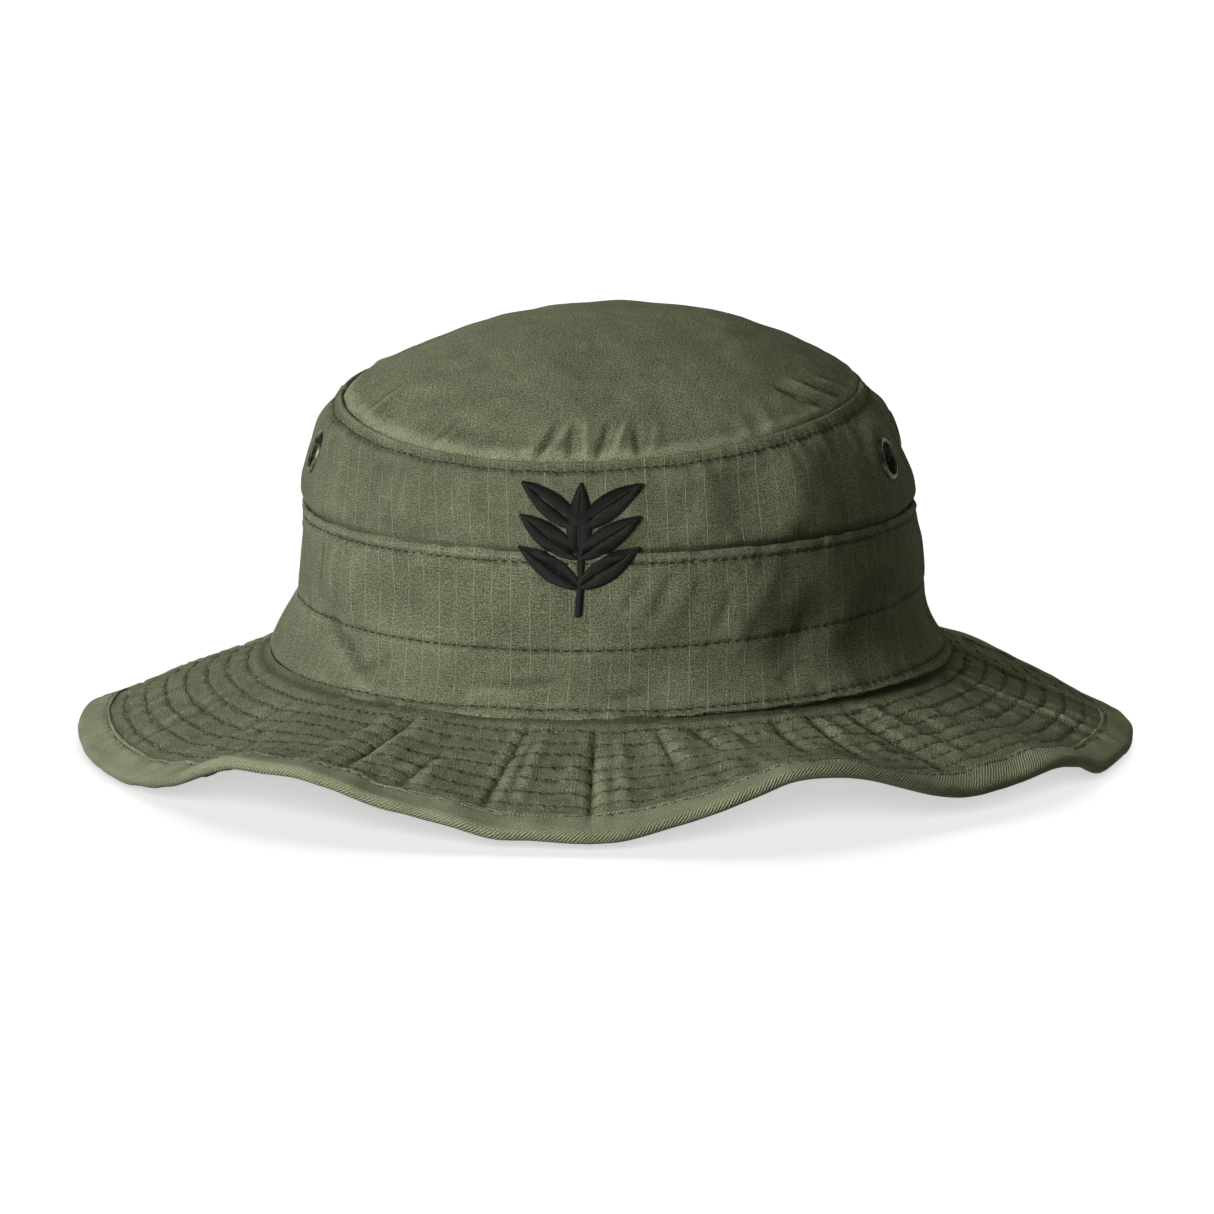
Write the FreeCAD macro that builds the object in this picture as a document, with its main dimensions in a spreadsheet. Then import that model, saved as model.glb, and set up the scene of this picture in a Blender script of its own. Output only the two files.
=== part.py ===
"""Boonie hat with a soft quilted brim, as separate sewn pieces.

The hat stands on its brim: +Z is up, the front faces -Y, and the origin is under the middle of the
hat on the surface that it stands on. Lengths are millimetres and angles are degrees. An azimuth is
counted from the front, positive towards +X.
"""

import FreeCAD, Part
import math
import os
import Sketcher

Vector = FreeCAD.Vector

doc = FreeCAD.newDocument("boonie_hat")
sheet = doc.addObject("Spreadsheet::Sheet", "Sheet")
sub_parts = []


# --- driving dimensions -------------------------------------------------------------------------

# Each station is a level of the crown's outer face: the half-width and half-depth of its ellipse,
# and how far its plane leans down towards the front.
STATIONS = {
    "top_seam": {"level": 93.2, "half_width": 71.2, "half_depth": 79.0, "tilt": 3.8},
    "shoulder": {"level": 89.8, "half_width": 74.6, "half_depth": 82.7, "tilt": 3.3},
    "upper_side": {"level": 86.4, "half_width": 76.7, "half_depth": 85.0, "tilt": 2.7},
    "lower_side": {"level": 73.8, "half_width": 80.6, "half_depth": 89.4, "tilt": 1.0},
    "panel_lap": {"level": 64.5, "half_width": 81.8, "half_depth": 90.9, "tilt": 0.0},
    "panel_hem": {"level": 58.0, "half_width": 82.4, "half_depth": 91.5, "tilt": 0.0},
    "band_fold": {"level": 64.5, "half_width": 82.9, "half_depth": 92.0, "tilt": 0.0},
    "band_upper": {"level": 55.0, "half_width": 84.1, "half_depth": 93.2, "tilt": 0.0},
    "band_lower": {"level": 42.0, "half_width": 84.8, "half_depth": 94.0, "tilt": 0.0},
    "band_flare": {"level": 31.5, "half_width": 86.6, "half_depth": 95.6, "tilt": 0.0},
    "brim_seam": {"level": 24.0, "half_width": 92.3, "half_depth": 100.2, "tilt": 0.0},
}

# Each wave lifts the brim's free edge: where its crest is, how high, and how far it spreads on
# the side of the smaller and of the larger azimuth.
WAVES = {
    "left_front_wave": {"azimuth": -33.0, "rise": 14.0, "before": 9.5, "after": 16.0},
    "right_front_wave": {"azimuth": 27.0, "rise": 16.5, "before": 9.0, "after": 9.0},
    "right_side_wave": {"azimuth": 59.0, "rise": 8.0, "before": 9.5, "after": 6.0},
    "right_rear_wave": {"azimuth": 144.0, "rise": 8.5, "before": 13.0, "after": 13.0},
    "left_rear_wave": {"azimuth": -140.0, "rise": 8.0, "before": 13.0, "after": 15.0},
    "left_side_wave": {"azimuth": -96.0, "rise": 3.5, "before": 9.0, "after": 8.0},
}

DIMENSIONS = {
    "cloth": 0.6,
    "band_cloth": 0.8,
    "sweatband_cloth": 1.0,
    "interlining": 0.8,
    "clearance": 0.05,
    "half_gap": 0.05,
    "crown_rise": 23.2,
    "reach": 200.0,
    "brim_slant": 52.0,
    "brim_edge_level": 1.7,
    "brim_seam_gap": 0.3,
    "brim_side_seam": 97.0,
    "lift_power": 1.6,
    "binding_width": 9.0,
    "binding_cloth": 0.6,
    "edge_setback": 1.2,
    "binding_gap": 0.2,
    "quilting_first": 4.5,
    "quilting_last": 38.5,
    "quilting_rows": 7,
    "thread": 0.35,
    "stitch_row": 0.5,
    "vent_azimuth": 75.5,
    "vent_level": 80.5,
    "vent_hole": 4.2,
    "vent_barrel": 4.9,
    "vent_flange": 6.0,
    "vent_crown": 1.0,
    "vent_edge": 0.45,
    "washer": 0.4,
    "washer_level": 0.9,
    "roll": 0.4,
    "roll_width": 0.6,
    "screen_wire": 0.25,
    "screen_pitch": 1.1,
    "screen_level": 0.4,
    "motif_level": 67.0,
    "motif_thread": 0.8,
    "stem_length": 36.0,
    "stem_width": 1.8,
    "leaf_length": 19.0,
    "leaf_width": 7.2,
    "leaf_angle": 57.0,
    "leaf_pitch": 8.6,
    "leaf_first": -9.5,
}


def fill_sheet():
    """Put every driving dimension in the sheet, one aliased cell each."""
    cells = dict(DIMENSIONS)
    for group in (STATIONS, WAVES):
        for name, values in group.items():
            for key, value in values.items():
                cells[f"{name}_{key}"] = value
    for row, (alias, value) in enumerate(cells.items(), start=1):
        sheet.set(f"A{row}", alias)
        sheet.set(f"B{row}", str(value))
        sheet.setAlias(f"B{row}", alias)
    doc.recompute()


def dim(expression):
    """The number that an expression of the sheet's aliases gives."""
    return float(sheet.evalExpression(expression))


fill_sheet()


# --- helpers for the crown ----------------------------------------------------------------------


def station(name):
    """A level of the crown as expressions: level, half-width, half-depth and tilt."""
    return [f"Sheet.{name}_{key}" for key in ("level", "half_width", "half_depth", "tilt")]


def between(first, second, share, shift="0"):
    """A level a share of the way from one named station to the next, and a shift further down."""
    part_way = f"({share} + ({shift}) / ({slope_length(first, second)}))"
    ends = zip(station(first), station(second))
    return [f"({start} + ({end} - {start}) * {part_way})" for start, end in ends]


def slope_length(first, second):
    """The length of the wall from one station to the next, as an expression."""
    drop = f"(Sheet.{first}_level - Sheet.{second}_level)"
    spread = f"(Sheet.{first}_half_width - Sheet.{second}_half_width)"
    return f"sqrt({drop} ^ 2 + {spread} ^ 2)"


def ellipse(level, inset):
    """The outline of the crown at one level, moved in by an inset."""
    height, half_width, half_depth, tilt = level
    outline = doc.addObject("Part::Ellipse", "Outline")
    outline.setExpression("MajorRadius", f"{half_depth} - ({inset})")
    outline.setExpression("MinorRadius", f"{half_width} - ({inset})")
    outline.setExpression("Placement", f"placement(vector(0; 0; {height}); rotation(90; -{tilt}; 0))")
    return outline


def cone(levels, inset):
    """A solid through the crown's outlines at some levels, all moved in by one inset."""
    loft = doc.addObject("Part::Loft", "Cone")
    loft.Sections = [ellipse(level, inset) for level in levels]
    loft.Solid = True
    loft.Ruled = True
    return loft


def boolean(kind, base, tool):
    """One solid cut from, or shared with, another."""
    result = doc.addObject(kind, kind.replace("Part::", ""))
    result.Base = base
    result.Tool = tool
    result.Refine = False
    return result


def wall(levels, inset, thickness):
    """The tube of cloth between two insets of the crown's outer face."""
    outer = cone(levels, inset)
    inner = cone(levels, f"{inset} + {thickness}")
    return boolean("Part::Cut", outer, inner)


def half_space(side):
    """A box over the front (-1) or back (1) half of the hat, stopping short of the side seams."""
    box = doc.addObject("Part::Box", "HalfSpace")
    box.setExpression("Length", "2 * Sheet.reach")
    box.setExpression("Width", "Sheet.reach")
    box.setExpression("Height", "Sheet.reach")
    start = "Sheet.half_gap" if side > 0 else "-Sheet.reach - Sheet.half_gap"
    box.setExpression("Placement", f"placement(vector(-Sheet.reach; {start}; 0); rotation(0; 0; 0))")
    return box


def sub_part(label, shape_object):
    """Name an object as one of the hat's pieces."""
    shape_object.Label = label
    sub_parts.append(shape_object)


def group(kind, label, shapes):
    """A piece made of several shapes: a Part::Compound of separate ones or a Part::MultiFuse."""
    result = doc.addObject(kind, label)
    if kind == "Part::Compound":
        result.Links = shapes
    else:
        result.Shapes = shapes
    return result


# --- crown --------------------------------------------------------------------------------------

PANEL_LEVELS = ["top_seam", "shoulder", "upper_side", "lower_side", "panel_lap", "panel_hem"]
BAND_LEVELS = ["band_fold", "band_upper", "band_lower", "band_flare", "brim_seam"]
SIDES = {"left": -1, "right": 1}
ENDS = {"front": -1, "back": 1}


def cap(inset):
    """The ellipsoid that the domed top panel follows, moved in by an inset."""
    rise = "Sheet.crown_rise"
    width = "Sheet.top_seam_half_width"
    radius = f"(({width} ^ 2 + {rise} ^ 2) / (2 * {rise}))"
    solid = doc.addObject("Part::Ellipsoid", "Cap")
    solid.setExpression("Radius1", f"{radius} - ({inset})")
    solid.setExpression("Radius2", f"{radius} - ({inset})")
    solid.setExpression("Radius3", f"{radius} * Sheet.top_seam_half_depth / {width} - ({inset})")
    solid.Angle1 = -90
    solid.Angle2 = 90
    solid.Angle3 = 360
    drop = f"({radius} - {rise})"
    tilt = "Sheet.top_seam_tilt"
    back = f"{drop} * sin({tilt} * 1 deg)"
    level = f"Sheet.top_seam_level - {drop} * cos({tilt} * 1 deg)"
    solid.setExpression("Placement", f"placement(vector(0; {back}; {level}); rotation(0; 0; {tilt}))")
    return solid


def make_crown_top():
    """The domed oval top panel, above the plane of the top seam."""
    shell = boolean("Part::Cut", cap("0"), cap("Sheet.cloth"))
    above = doc.addObject("Part::Box", "AboveSeam")
    above.setExpression("Length", "2 * Sheet.reach")
    above.setExpression("Width", "2 * Sheet.reach")
    above.setExpression("Height", "Sheet.reach")
    tilt = "Sheet.top_seam_tilt"
    corner_y = f"-Sheet.reach * cos({tilt} * 1 deg)"
    corner_z = f"Sheet.top_seam_level + Sheet.clearance - Sheet.reach * sin({tilt} * 1 deg)"
    above.setExpression(
        "Placement", f"placement(vector(-Sheet.reach; {corner_y}; {corner_z}); rotation(0; 0; {tilt}))"
    )
    sub_part("crown_top", boolean("Part::Common", shell, above))


def vent_azimuths():
    """Each vent's name and azimuth: two on each side, one before and one behind the side seam."""
    azimuth = dim("vent_azimuth")
    for side, sign in SIDES.items():
        yield f"{side}_front", sign * azimuth
        yield f"{side}_rear", sign * (180 - azimuth)


def wall_point(name, turn):
    """The point of the crown's outer face at a named station and an angle in radians from the front."""
    level, half_width, half_depth, tilt = (dim(value) for value in station(name))
    forward = half_depth * math.cos(turn)
    lean = math.radians(tilt)
    return Vector(half_width * math.sin(turn), -forward * math.cos(lean), level - forward * math.sin(lean))


def vent_placement(azimuth):
    """A vent's place: its axis is +Z, outwards, through the side panel's outer face."""
    turn = math.radians(azimuth)
    upper = wall_point("upper_side", turn)
    lower = wall_point("lower_side", turn)
    share = dim("(vent_level - lower_side_level) / (upper_side_level - lower_side_level)")
    half_width = dim("upper_side_half_width + lower_side_half_width") / 2
    half_depth = dim("upper_side_half_depth + lower_side_half_depth") / 2
    along = Vector(half_width * math.cos(turn), half_depth * math.sin(turn), 0)
    outward = along.cross(upper - lower)
    centre = lower + (upper - lower) * share
    return FreeCAD.Placement(centre, FreeCAD.Rotation(Vector(0, 0, 1), outward))


def vent_bore(placement):
    """The hole that a vent's barrel passes through."""
    bore = doc.addObject("Part::Cylinder", "VentBore")
    bore.setExpression("Radius", "Sheet.vent_barrel + Sheet.clearance")
    bore.setExpression("Height", "4 * Sheet.vent_flange")
    offset = FreeCAD.Placement(Vector(0, 0, -2 * dim("vent_flange")), FreeCAD.Rotation())
    bore.Placement = placement.multiply(offset)
    return bore


def make_side_panels():
    """The front and back panels of the crown's side, with a hole for each vent."""
    panel = wall([station(name) for name in PANEL_LEVELS], "0", "Sheet.cloth")
    bores = [vent_bore(vent_placement(azimuth)) for _, azimuth in vent_azimuths()]
    for end, side in ENDS.items():
        half = boolean("Part::Common", panel, half_space(side))
        for bore in bores:
            half = boolean("Part::Cut", half, bore)
        sub_part(f"side_panel_{end}", half)


def make_lower_bands():
    """The front and back lengths of the lower band, which lap over the side panels."""
    band = wall([station(name) for name in BAND_LEVELS], "0", "Sheet.band_cloth")
    for end, side in ENDS.items():
        sub_part(f"lower_band_{end}", boolean("Part::Common", band, half_space(side)))


def make_sweatband():
    """The strip inside the head opening, from the brim seam up to its own line of stitching."""
    levels = [station(name) for name in BAND_LEVELS[2:]]
    sub_part("sweatband", wall(levels, "Sheet.band_cloth + Sheet.clearance", "Sheet.sweatband_cloth"))


def make_crown_threads():
    """The rows of stitching round the crown, each a thin cord on the cloth's outer face, by name."""
    threads = {}
    rows = {
        "top_seam_thread": ("top_seam", "shoulder", "0.5"),
        "band_seam_thread": ("band_fold", "band_upper", "0.22"),
        "sweatband_thread": ("band_upper", "band_lower", "0.9"),
        "brim_seam_thread": ("band_flare", "brim_seam", "0.75"),
    }
    for label, (first, second, share) in rows.items():
        levels = [between(first, second, share, f"{sign}Sheet.stitch_row / 2") for sign in ("-", "")]
        threads[label] = wall(levels, "-Sheet.thread - Sheet.clearance", "Sheet.thread")
        sub_part(label, threads[label])
    return threads


# --- vents --------------------------------------------------------------------------------------


def closed_profile(sketch, corners):
    """Draw a closed outline in a sketch and bind each corner to its two expressions."""
    points = [Vector(dim(across), dim(up), 0) for across, up in corners]
    for start, end in zip(points, points[1:] + points[:1]):
        sketch.addGeometry(Part.LineSegment(start, end), False)
    count = len(corners)
    for edge in range(count):
        sketch.addConstraint(Sketcher.Constraint("Coincident", edge, 2, (edge + 1) % count, 1))
    for edge, corner in enumerate(corners):
        for kind, expression in zip(("DistanceX", "DistanceY"), corner):
            index = sketch.addConstraint(Sketcher.Constraint(kind, -1, 1, edge, 1, dim(expression)))
            sketch.setExpression(f"Constraints[{index}]", expression)


def make_eyelet(label, placement):
    """One metal eyelet: a domed flange outside, a barrel through the cloth and a rolled end."""
    body = doc.addObject("PartDesign::Body", "Eyelet")
    sketch = body.newObject("Sketcher::SketchObject", "EyeletProfile")
    plane = [feature for feature in body.Origin.OriginFeatures if feature.Role == "XZ_Plane"][0]
    sketch.AttachmentSupport = [(plane, "")]
    sketch.MapMode = "FlatFace"
    roll_top = "-(Sheet.washer_level + Sheet.washer + Sheet.clearance)"
    roll_end = f"{roll_top} - Sheet.roll"
    corners = [
        ("Sheet.vent_hole", "Sheet.vent_crown"),
        ("Sheet.vent_barrel + Sheet.vent_edge", "Sheet.vent_crown"),
        ("Sheet.vent_flange", "Sheet.vent_edge"),
        ("Sheet.vent_flange", "Sheet.clearance"),
        ("Sheet.vent_barrel", "Sheet.clearance"),
        ("Sheet.vent_barrel", roll_top),
        ("Sheet.vent_barrel + Sheet.roll_width", roll_top),
        ("Sheet.vent_barrel + Sheet.roll_width", roll_end),
        ("Sheet.vent_hole", roll_end),
    ]
    closed_profile(sketch, corners)
    revolution = body.newObject("PartDesign::Revolution", "EyeletTurned")
    revolution.Profile = sketch
    revolution.ReferenceAxis = (sketch, ["V_Axis"])
    revolution.Angle = 360
    body.Placement = placement
    sub_part(label, body)


def make_washer(label, placement):
    """The washer that an eyelet is rolled over, against the inside of the cloth."""
    shapes = []
    for radius in ("Sheet.vent_flange", "Sheet.vent_barrel + Sheet.clearance"):
        disc = doc.addObject("Part::Cylinder", "WasherDisc")
        disc.setExpression("Radius", radius)
        disc.setExpression("Height", "Sheet.washer")
        offset = FreeCAD.Placement(Vector(0, 0, -dim("washer_level + washer")), FreeCAD.Rotation())
        disc.Placement = placement.multiply(offset)
        shapes.append(disc)
    sub_part(label, boolean("Part::Cut", *shapes))


def make_screen(label, placement):
    """The wire screen inside an eyelet's barrel: two layers of wires, trimmed round."""
    radius = dim("vent_hole")
    pitch = dim("screen_pitch")
    count = int(radius / pitch)
    wires = []
    for index in range(-count, count + 1):
        for turn in (0, 90):
            wire = doc.addObject("Part::Box", "ScreenWire")
            wire.setExpression("Length", "2 * Sheet.vent_hole")
            wire.setExpression("Width", "Sheet.screen_wire")
            wire.setExpression("Height", "Sheet.screen_wire")
            corner = Vector(-radius, index * pitch - dim("screen_wire / 2"), -dim("screen_level"))
            quarter = FreeCAD.Placement(Vector(), FreeCAD.Rotation(Vector(0, 0, 1), turn))
            offset = FreeCAD.Placement(corner, FreeCAD.Rotation())
            wire.Placement = placement.multiply(quarter).multiply(offset)
            wires.append(wire)
    disc = doc.addObject("Part::Cylinder", "ScreenDisc")
    disc.setExpression("Radius", "Sheet.vent_hole - Sheet.clearance")
    disc.setExpression("Height", "2 * Sheet.screen_level")
    offset = FreeCAD.Placement(Vector(0, 0, -2 * dim("screen_level")), FreeCAD.Rotation())
    disc.Placement = placement.multiply(offset)
    sub_part(label, boolean("Part::Common", group("Part::MultiFuse", "ScreenWires", wires), disc))


def make_vents():
    """Four vents, each an eyelet, a washer and a screen."""
    for name, azimuth in vent_azimuths():
        placement = vent_placement(azimuth)
        make_eyelet(f"vent_eyelet_{name}", placement)
        make_washer(f"vent_washer_{name}", placement)
        make_screen(f"vent_screen_{name}", placement)


# --- embroidery ---------------------------------------------------------------------------------


def leaf(base_height, angle):
    """A pointed leaf through the front of the crown: what two wide cylinders share."""
    length = "Sheet.leaf_length"
    width = "Sheet.leaf_width"
    radius = f"(({length} ^ 2 + {width} ^ 2) / (4 * {width}))"
    centre_offset = dim(f"{radius} - {width} / 2")
    lean = math.radians(angle)
    along = Vector(math.sin(lean), 0, math.cos(lean))
    across = Vector(math.cos(lean), 0, -math.sin(lean))
    middle = Vector(0, 0, dim("motif_level") + base_height) + along * dim("leaf_length / 2")
    cylinders = []
    for sign in (-1, 1):
        cylinder = doc.addObject("Part::Cylinder", "LeafEdge")
        cylinder.setExpression("Radius", radius)
        cylinder.setExpression("Height", "Sheet.reach")
        cylinder.Placement = FreeCAD.Placement(
            middle + across * (sign * centre_offset), FreeCAD.Rotation(Vector(1, 0, 0), 90)
        )
        cylinders.append(cylinder)
    return boolean("Part::Common", *cylinders)


def make_embroidery(seam_thread):
    """A raised sprig of leaves in satin stitch on the front, over the lower band's fold."""
    stem = doc.addObject("Part::Box", "Stem")
    stem.setExpression("Length", "Sheet.stem_width")
    stem.setExpression("Width", "Sheet.reach")
    stem.setExpression("Height", "Sheet.stem_length * 0.8")
    corner = "-Sheet.stem_width / 2; -Sheet.reach; Sheet.motif_level - Sheet.stem_length / 2"
    stem.setExpression("Placement", f"placement(vector({corner}); rotation(0; 0; 0))")
    first = dim("leaf_first")
    pitch = dim("leaf_pitch")
    angle = dim("leaf_angle")
    leaves = [leaf(first + row * pitch, sign * angle) for row in range(3) for sign in (-1, 1)]
    leaves.append(leaf(dim("stem_length / 2 - leaf_length"), 0))
    motif = group("Part::MultiFuse", "Motif", [stem] + leaves)
    levels = [station("upper_side"), station("lower_side"), station("panel_lap")]
    levels += [station(name) for name in BAND_LEVELS[:3]]
    above = wall(levels[:3], "-Sheet.clearance - Sheet.motif_thread", "Sheet.motif_thread")
    below = wall(levels[3:], "-Sheet.clearance - Sheet.motif_thread", "Sheet.motif_thread")
    over_panel = boolean("Part::Common", motif, above)
    over_band = boolean("Part::Cut", boolean("Part::Common", motif, below), seam_thread)
    sub_part("front_embroidery", group("Part::Compound", "Embroidery", [over_panel, over_band]))


# --- brim ---------------------------------------------------------------------------------------

# Degrees from one section of the brim to the next, and the steps across a section's curves.
STEP = 5.0
CLOTH_STEPS = 4
TAPE_STEPS = 2
THREAD_STEPS = 1


def edge_lift(azimuth):
    """How far the waves lift the brim's free edge at an azimuth."""
    lift = 0.0
    for name in WAVES:
        away = (azimuth - dim(f"{name}_azimuth") + 180) % 360 - 180
        spread = dim(f"{name}_after" if away > 0 else f"{name}_before")
        lift += dim(f"{name}_rise") * math.exp(-((away / spread) ** 2) / 2)
    return lift


class BrimRay:
    """The middle surface of the brim along one azimuth, from the crown seam to the free edge."""

    def __init__(self, azimuth):
        turn = math.radians(azimuth)
        self.outward = Vector(math.sin(turn), -math.cos(turn), 0)
        half_width = dim("brim_seam_half_width")
        half_depth = dim("brim_seam_half_depth")
        self.root = Vector(half_width * math.sin(turn), -half_depth * math.cos(turn), 0)
        self.lift = edge_lift(azimuth)
        self.root_level = dim("brim_seam_level") - dim("brim_seam_gap") - dim("edge_setback")
        self.slant = dim("brim_slant")
        drop = self.root_level - dim("brim_edge_level") - self.lift
        self.run = math.sqrt(self.slant**2 - drop**2)

    def point(self, distance, height):
        """The point a distance from the seam along the brim, and a height above the surface."""
        share = distance / self.slant
        level = self.root_level + (dim("brim_edge_level") - self.root_level) * share
        level += self.lift * max(share, 0) ** dim("lift_power")
        return self.root + self.outward * (self.run * share) + Vector(0, 0, level + height)

    def curve(self, height, start, end, steps):
        """An edge along the brim from one distance to another, at one height, through even steps."""
        spline = Part.BSplineCurve()
        spline.interpolate(
            [self.point(start + (end - start) * step / steps, height) for step in range(steps + 1)]
        )
        return spline.toShape()

    def line(self, distance, low, high):
        """A short upright edge through the brim's thickness."""
        return Part.LineSegment(self.point(distance, low), self.point(distance, high)).toShape()

    def strip(self, start, end, low, high, steps=CLOTH_STEPS):
        """The section of a flat layer of the brim."""
        return Part.Wire(
            [
                self.curve(high, start, end, steps),
                self.line(end, high, low),
                self.curve(low, end, start, steps),
                self.line(start, low, high),
            ]
        )

    def folded_strip(self, start, end, inner, outer):
        """The section of a tape folded round the brim's edge."""
        fold = Part.BSplineCurve()
        beyond = end + outer * 0.8
        fold.interpolate([self.point(end, outer), self.point(beyond, 0), self.point(end, -outer)])
        return Part.Wire(
            [
                self.curve(outer, start, end, TAPE_STEPS),
                fold.toShape(),
                self.curve(-outer, end, start, TAPE_STEPS),
                self.line(start, -outer, -inner),
                self.curve(-inner, start, end, TAPE_STEPS),
                self.line(end, -inner, inner),
                self.curve(inner, end, start, TAPE_STEPS),
                self.line(start, inner, outer),
            ]
        )


def rays(first, last):
    """Brim rays at even steps from one azimuth to another."""
    count = max(2, round((last - first) / STEP))
    return [BrimRay(first + (last - first) * index / count) for index in range(count + 1)]


def brim_solid(sections):
    """A smooth solid through the sections of one brim piece."""
    return Part.makeLoft(sections, True, False, False)


def brim_feature(label, shapes):
    """A brim piece whose waved surface no primitive follows."""
    feature = doc.addObject("Part::Feature", label)
    feature.Shape = shapes[0] if len(shapes) == 1 else Part.makeCompound(shapes)
    feature.Placement = FreeCAD.Placement()
    sub_part(label, feature)


def brim_layers():
    """The heights of the brim's layers above its middle surface: interlining, cloths, binding."""
    core = dim("interlining / 2")
    cloth_low = core + dim("clearance")
    cloth_high = cloth_low + dim("cloth")
    binding_low = cloth_high + dim("binding_gap")
    return core, cloth_low, cloth_high, binding_low, binding_low + dim("binding_cloth")


def seam_angle():
    """Half of the gap at a seam, as an angle at the crown."""
    return math.degrees(dim("half_gap") / dim("brim_seam_half_width"))


def brim_halves():
    """The rays of the brim's front and back halves, which meet at a seam on each side."""
    side_seam = dim("brim_side_seam")
    gap = seam_angle()
    return {
        "front": rays(-side_seam + gap, side_seam - gap),
        "back": rays(side_seam + gap, 360 - side_seam - gap),
    }


def make_brim():
    """The brim's two cloths and interlining, in halves joined at the sides, and its binding."""
    core, cloth_low, cloth_high, binding_low, binding_high = brim_layers()
    slant = dim("brim_slant")
    layer_end = slant - dim("edge_setback")
    layers = {
        "brim_upper": (cloth_low, cloth_high),
        "brim_interlining": (-core, core),
        "brim_lower": (-cloth_high, -cloth_low),
    }
    for end, half in brim_halves().items():
        for layer, (low, high) in layers.items():
            sections = [ray.strip(0, layer_end, low, high) for ray in half]
            brim_feature(f"{layer}_{end}", [brim_solid(sections)])
    tape_start = slant - dim("binding_width")
    whole = rays(-180 + seam_angle(), 180 - seam_angle())
    tape_end = slant - dim("clearance")
    tape = [ray.folded_strip(tape_start, tape_end, binding_low, binding_high) for ray in whole]
    brim_feature("brim_binding", [brim_solid(tape)])


def stitch_row(distance, base):
    """A row of thread round the brim on its upper and on its lower face, half by half."""
    start = distance - dim("stitch_row / 2")
    end = distance + dim("stitch_row / 2")
    low = base + dim("clearance")
    high = low + dim("thread")
    return [
        brim_solid([ray.strip(start, end, *face, THREAD_STEPS) for ray in half])
        for half in brim_halves().values()
        for face in ((low, high), (-high, -low))
    ]


def make_brim_threads():
    """The quilting rows across the brim and the row that holds its binding."""
    cloth_high = brim_layers()[2]
    binding_high = brim_layers()[4]
    rows = int(dim("quilting_rows"))
    first = dim("quilting_first")
    pitch = (dim("quilting_last") - first) / (rows - 1)
    quilting = []
    for row in range(rows):
        quilting += stitch_row(first + row * pitch, cloth_high)
    brim_feature("brim_quilting_threads", quilting)
    binding_row = dim("brim_slant - binding_width") + 2 * dim("stitch_row")
    brim_feature("binding_thread", stitch_row(binding_row, binding_high + dim("clearance")))


# --- build, test and write ----------------------------------------------------------------------


def test_document():
    """Stop unless every object computed and every piece is a sound solid."""
    for item in doc.Objects:
        bad = [state for state in item.State if state in ("Invalid", "Error")]
        if bad:
            raise RuntimeError(f"{item.Name} ({item.Label}) is {bad}")
    for piece in sub_parts:
        if piece.Shape.isNull() or not piece.Shape.isValid() or not piece.Shape.Solids:
            raise RuntimeError(f"{piece.Label} isn't a sound solid")


def write_steps():
    """Write each piece to its own file."""
    os.makedirs("parts", exist_ok=True)
    for piece in sub_parts:
        piece.Shape.exportStep(f"parts/{piece.Label}.step")
        volume = piece.Shape.Volume / 1000
        print(f"{piece.Label}: {len(piece.Shape.Solids)} solid(s), {volume:.3f} cm3")


make_crown_top()
make_side_panels()
make_lower_bands()
make_sweatband()
crown_threads = make_crown_threads()
make_vents()
make_embroidery(crown_threads["band_seam_thread"])
make_brim()
make_brim_threads()
doc.recompute()
test_document()
write_steps()
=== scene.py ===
"""Boonie hat: sewn cloth panels, stitches, vents and embroidery, with light and camera."""

import math

import bpy
import numpy as np
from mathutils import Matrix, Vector


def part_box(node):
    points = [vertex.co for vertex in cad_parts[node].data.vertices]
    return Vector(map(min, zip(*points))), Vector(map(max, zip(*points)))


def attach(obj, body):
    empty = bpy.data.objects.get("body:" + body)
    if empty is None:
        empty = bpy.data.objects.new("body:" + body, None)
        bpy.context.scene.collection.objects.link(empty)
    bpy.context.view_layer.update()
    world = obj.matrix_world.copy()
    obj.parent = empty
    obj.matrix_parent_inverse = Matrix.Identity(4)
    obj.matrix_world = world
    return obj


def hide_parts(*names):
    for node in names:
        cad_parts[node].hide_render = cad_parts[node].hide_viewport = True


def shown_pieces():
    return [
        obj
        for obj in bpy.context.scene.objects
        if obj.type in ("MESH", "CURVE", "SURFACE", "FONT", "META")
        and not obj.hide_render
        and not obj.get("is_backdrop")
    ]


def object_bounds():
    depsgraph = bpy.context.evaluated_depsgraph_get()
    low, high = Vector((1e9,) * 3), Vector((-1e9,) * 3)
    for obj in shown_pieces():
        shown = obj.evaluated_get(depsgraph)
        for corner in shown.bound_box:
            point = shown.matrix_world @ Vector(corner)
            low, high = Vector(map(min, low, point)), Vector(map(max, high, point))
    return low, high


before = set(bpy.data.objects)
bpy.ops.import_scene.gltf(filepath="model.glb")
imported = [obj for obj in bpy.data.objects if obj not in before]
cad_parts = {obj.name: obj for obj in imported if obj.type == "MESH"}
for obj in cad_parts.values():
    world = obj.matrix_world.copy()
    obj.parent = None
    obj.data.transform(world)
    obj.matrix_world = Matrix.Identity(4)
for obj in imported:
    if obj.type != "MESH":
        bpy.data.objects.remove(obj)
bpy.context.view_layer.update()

# The hat is worked out in millimetres and degrees, and make_piece turns it into metres. The floor,
# the lights and the camera are in metres. An azimuth is 0 at the front of the hat, which faces -Y,
# and grows towards +X.
MM = 0.001
FULL_TURN = 2.0 * math.pi


def node_box(name):
    """Lowest and highest corner of a CAD node."""
    low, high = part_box(name)
    return np.array(low) / MM, np.array(high) / MM


# ---------------------------------------------------------------- sizes
CROWN_COLUMNS = 1080
BRIM_COLUMNS = 1440
ROW_STEP = 0.62
NOISE_ROWS = 61

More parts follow.
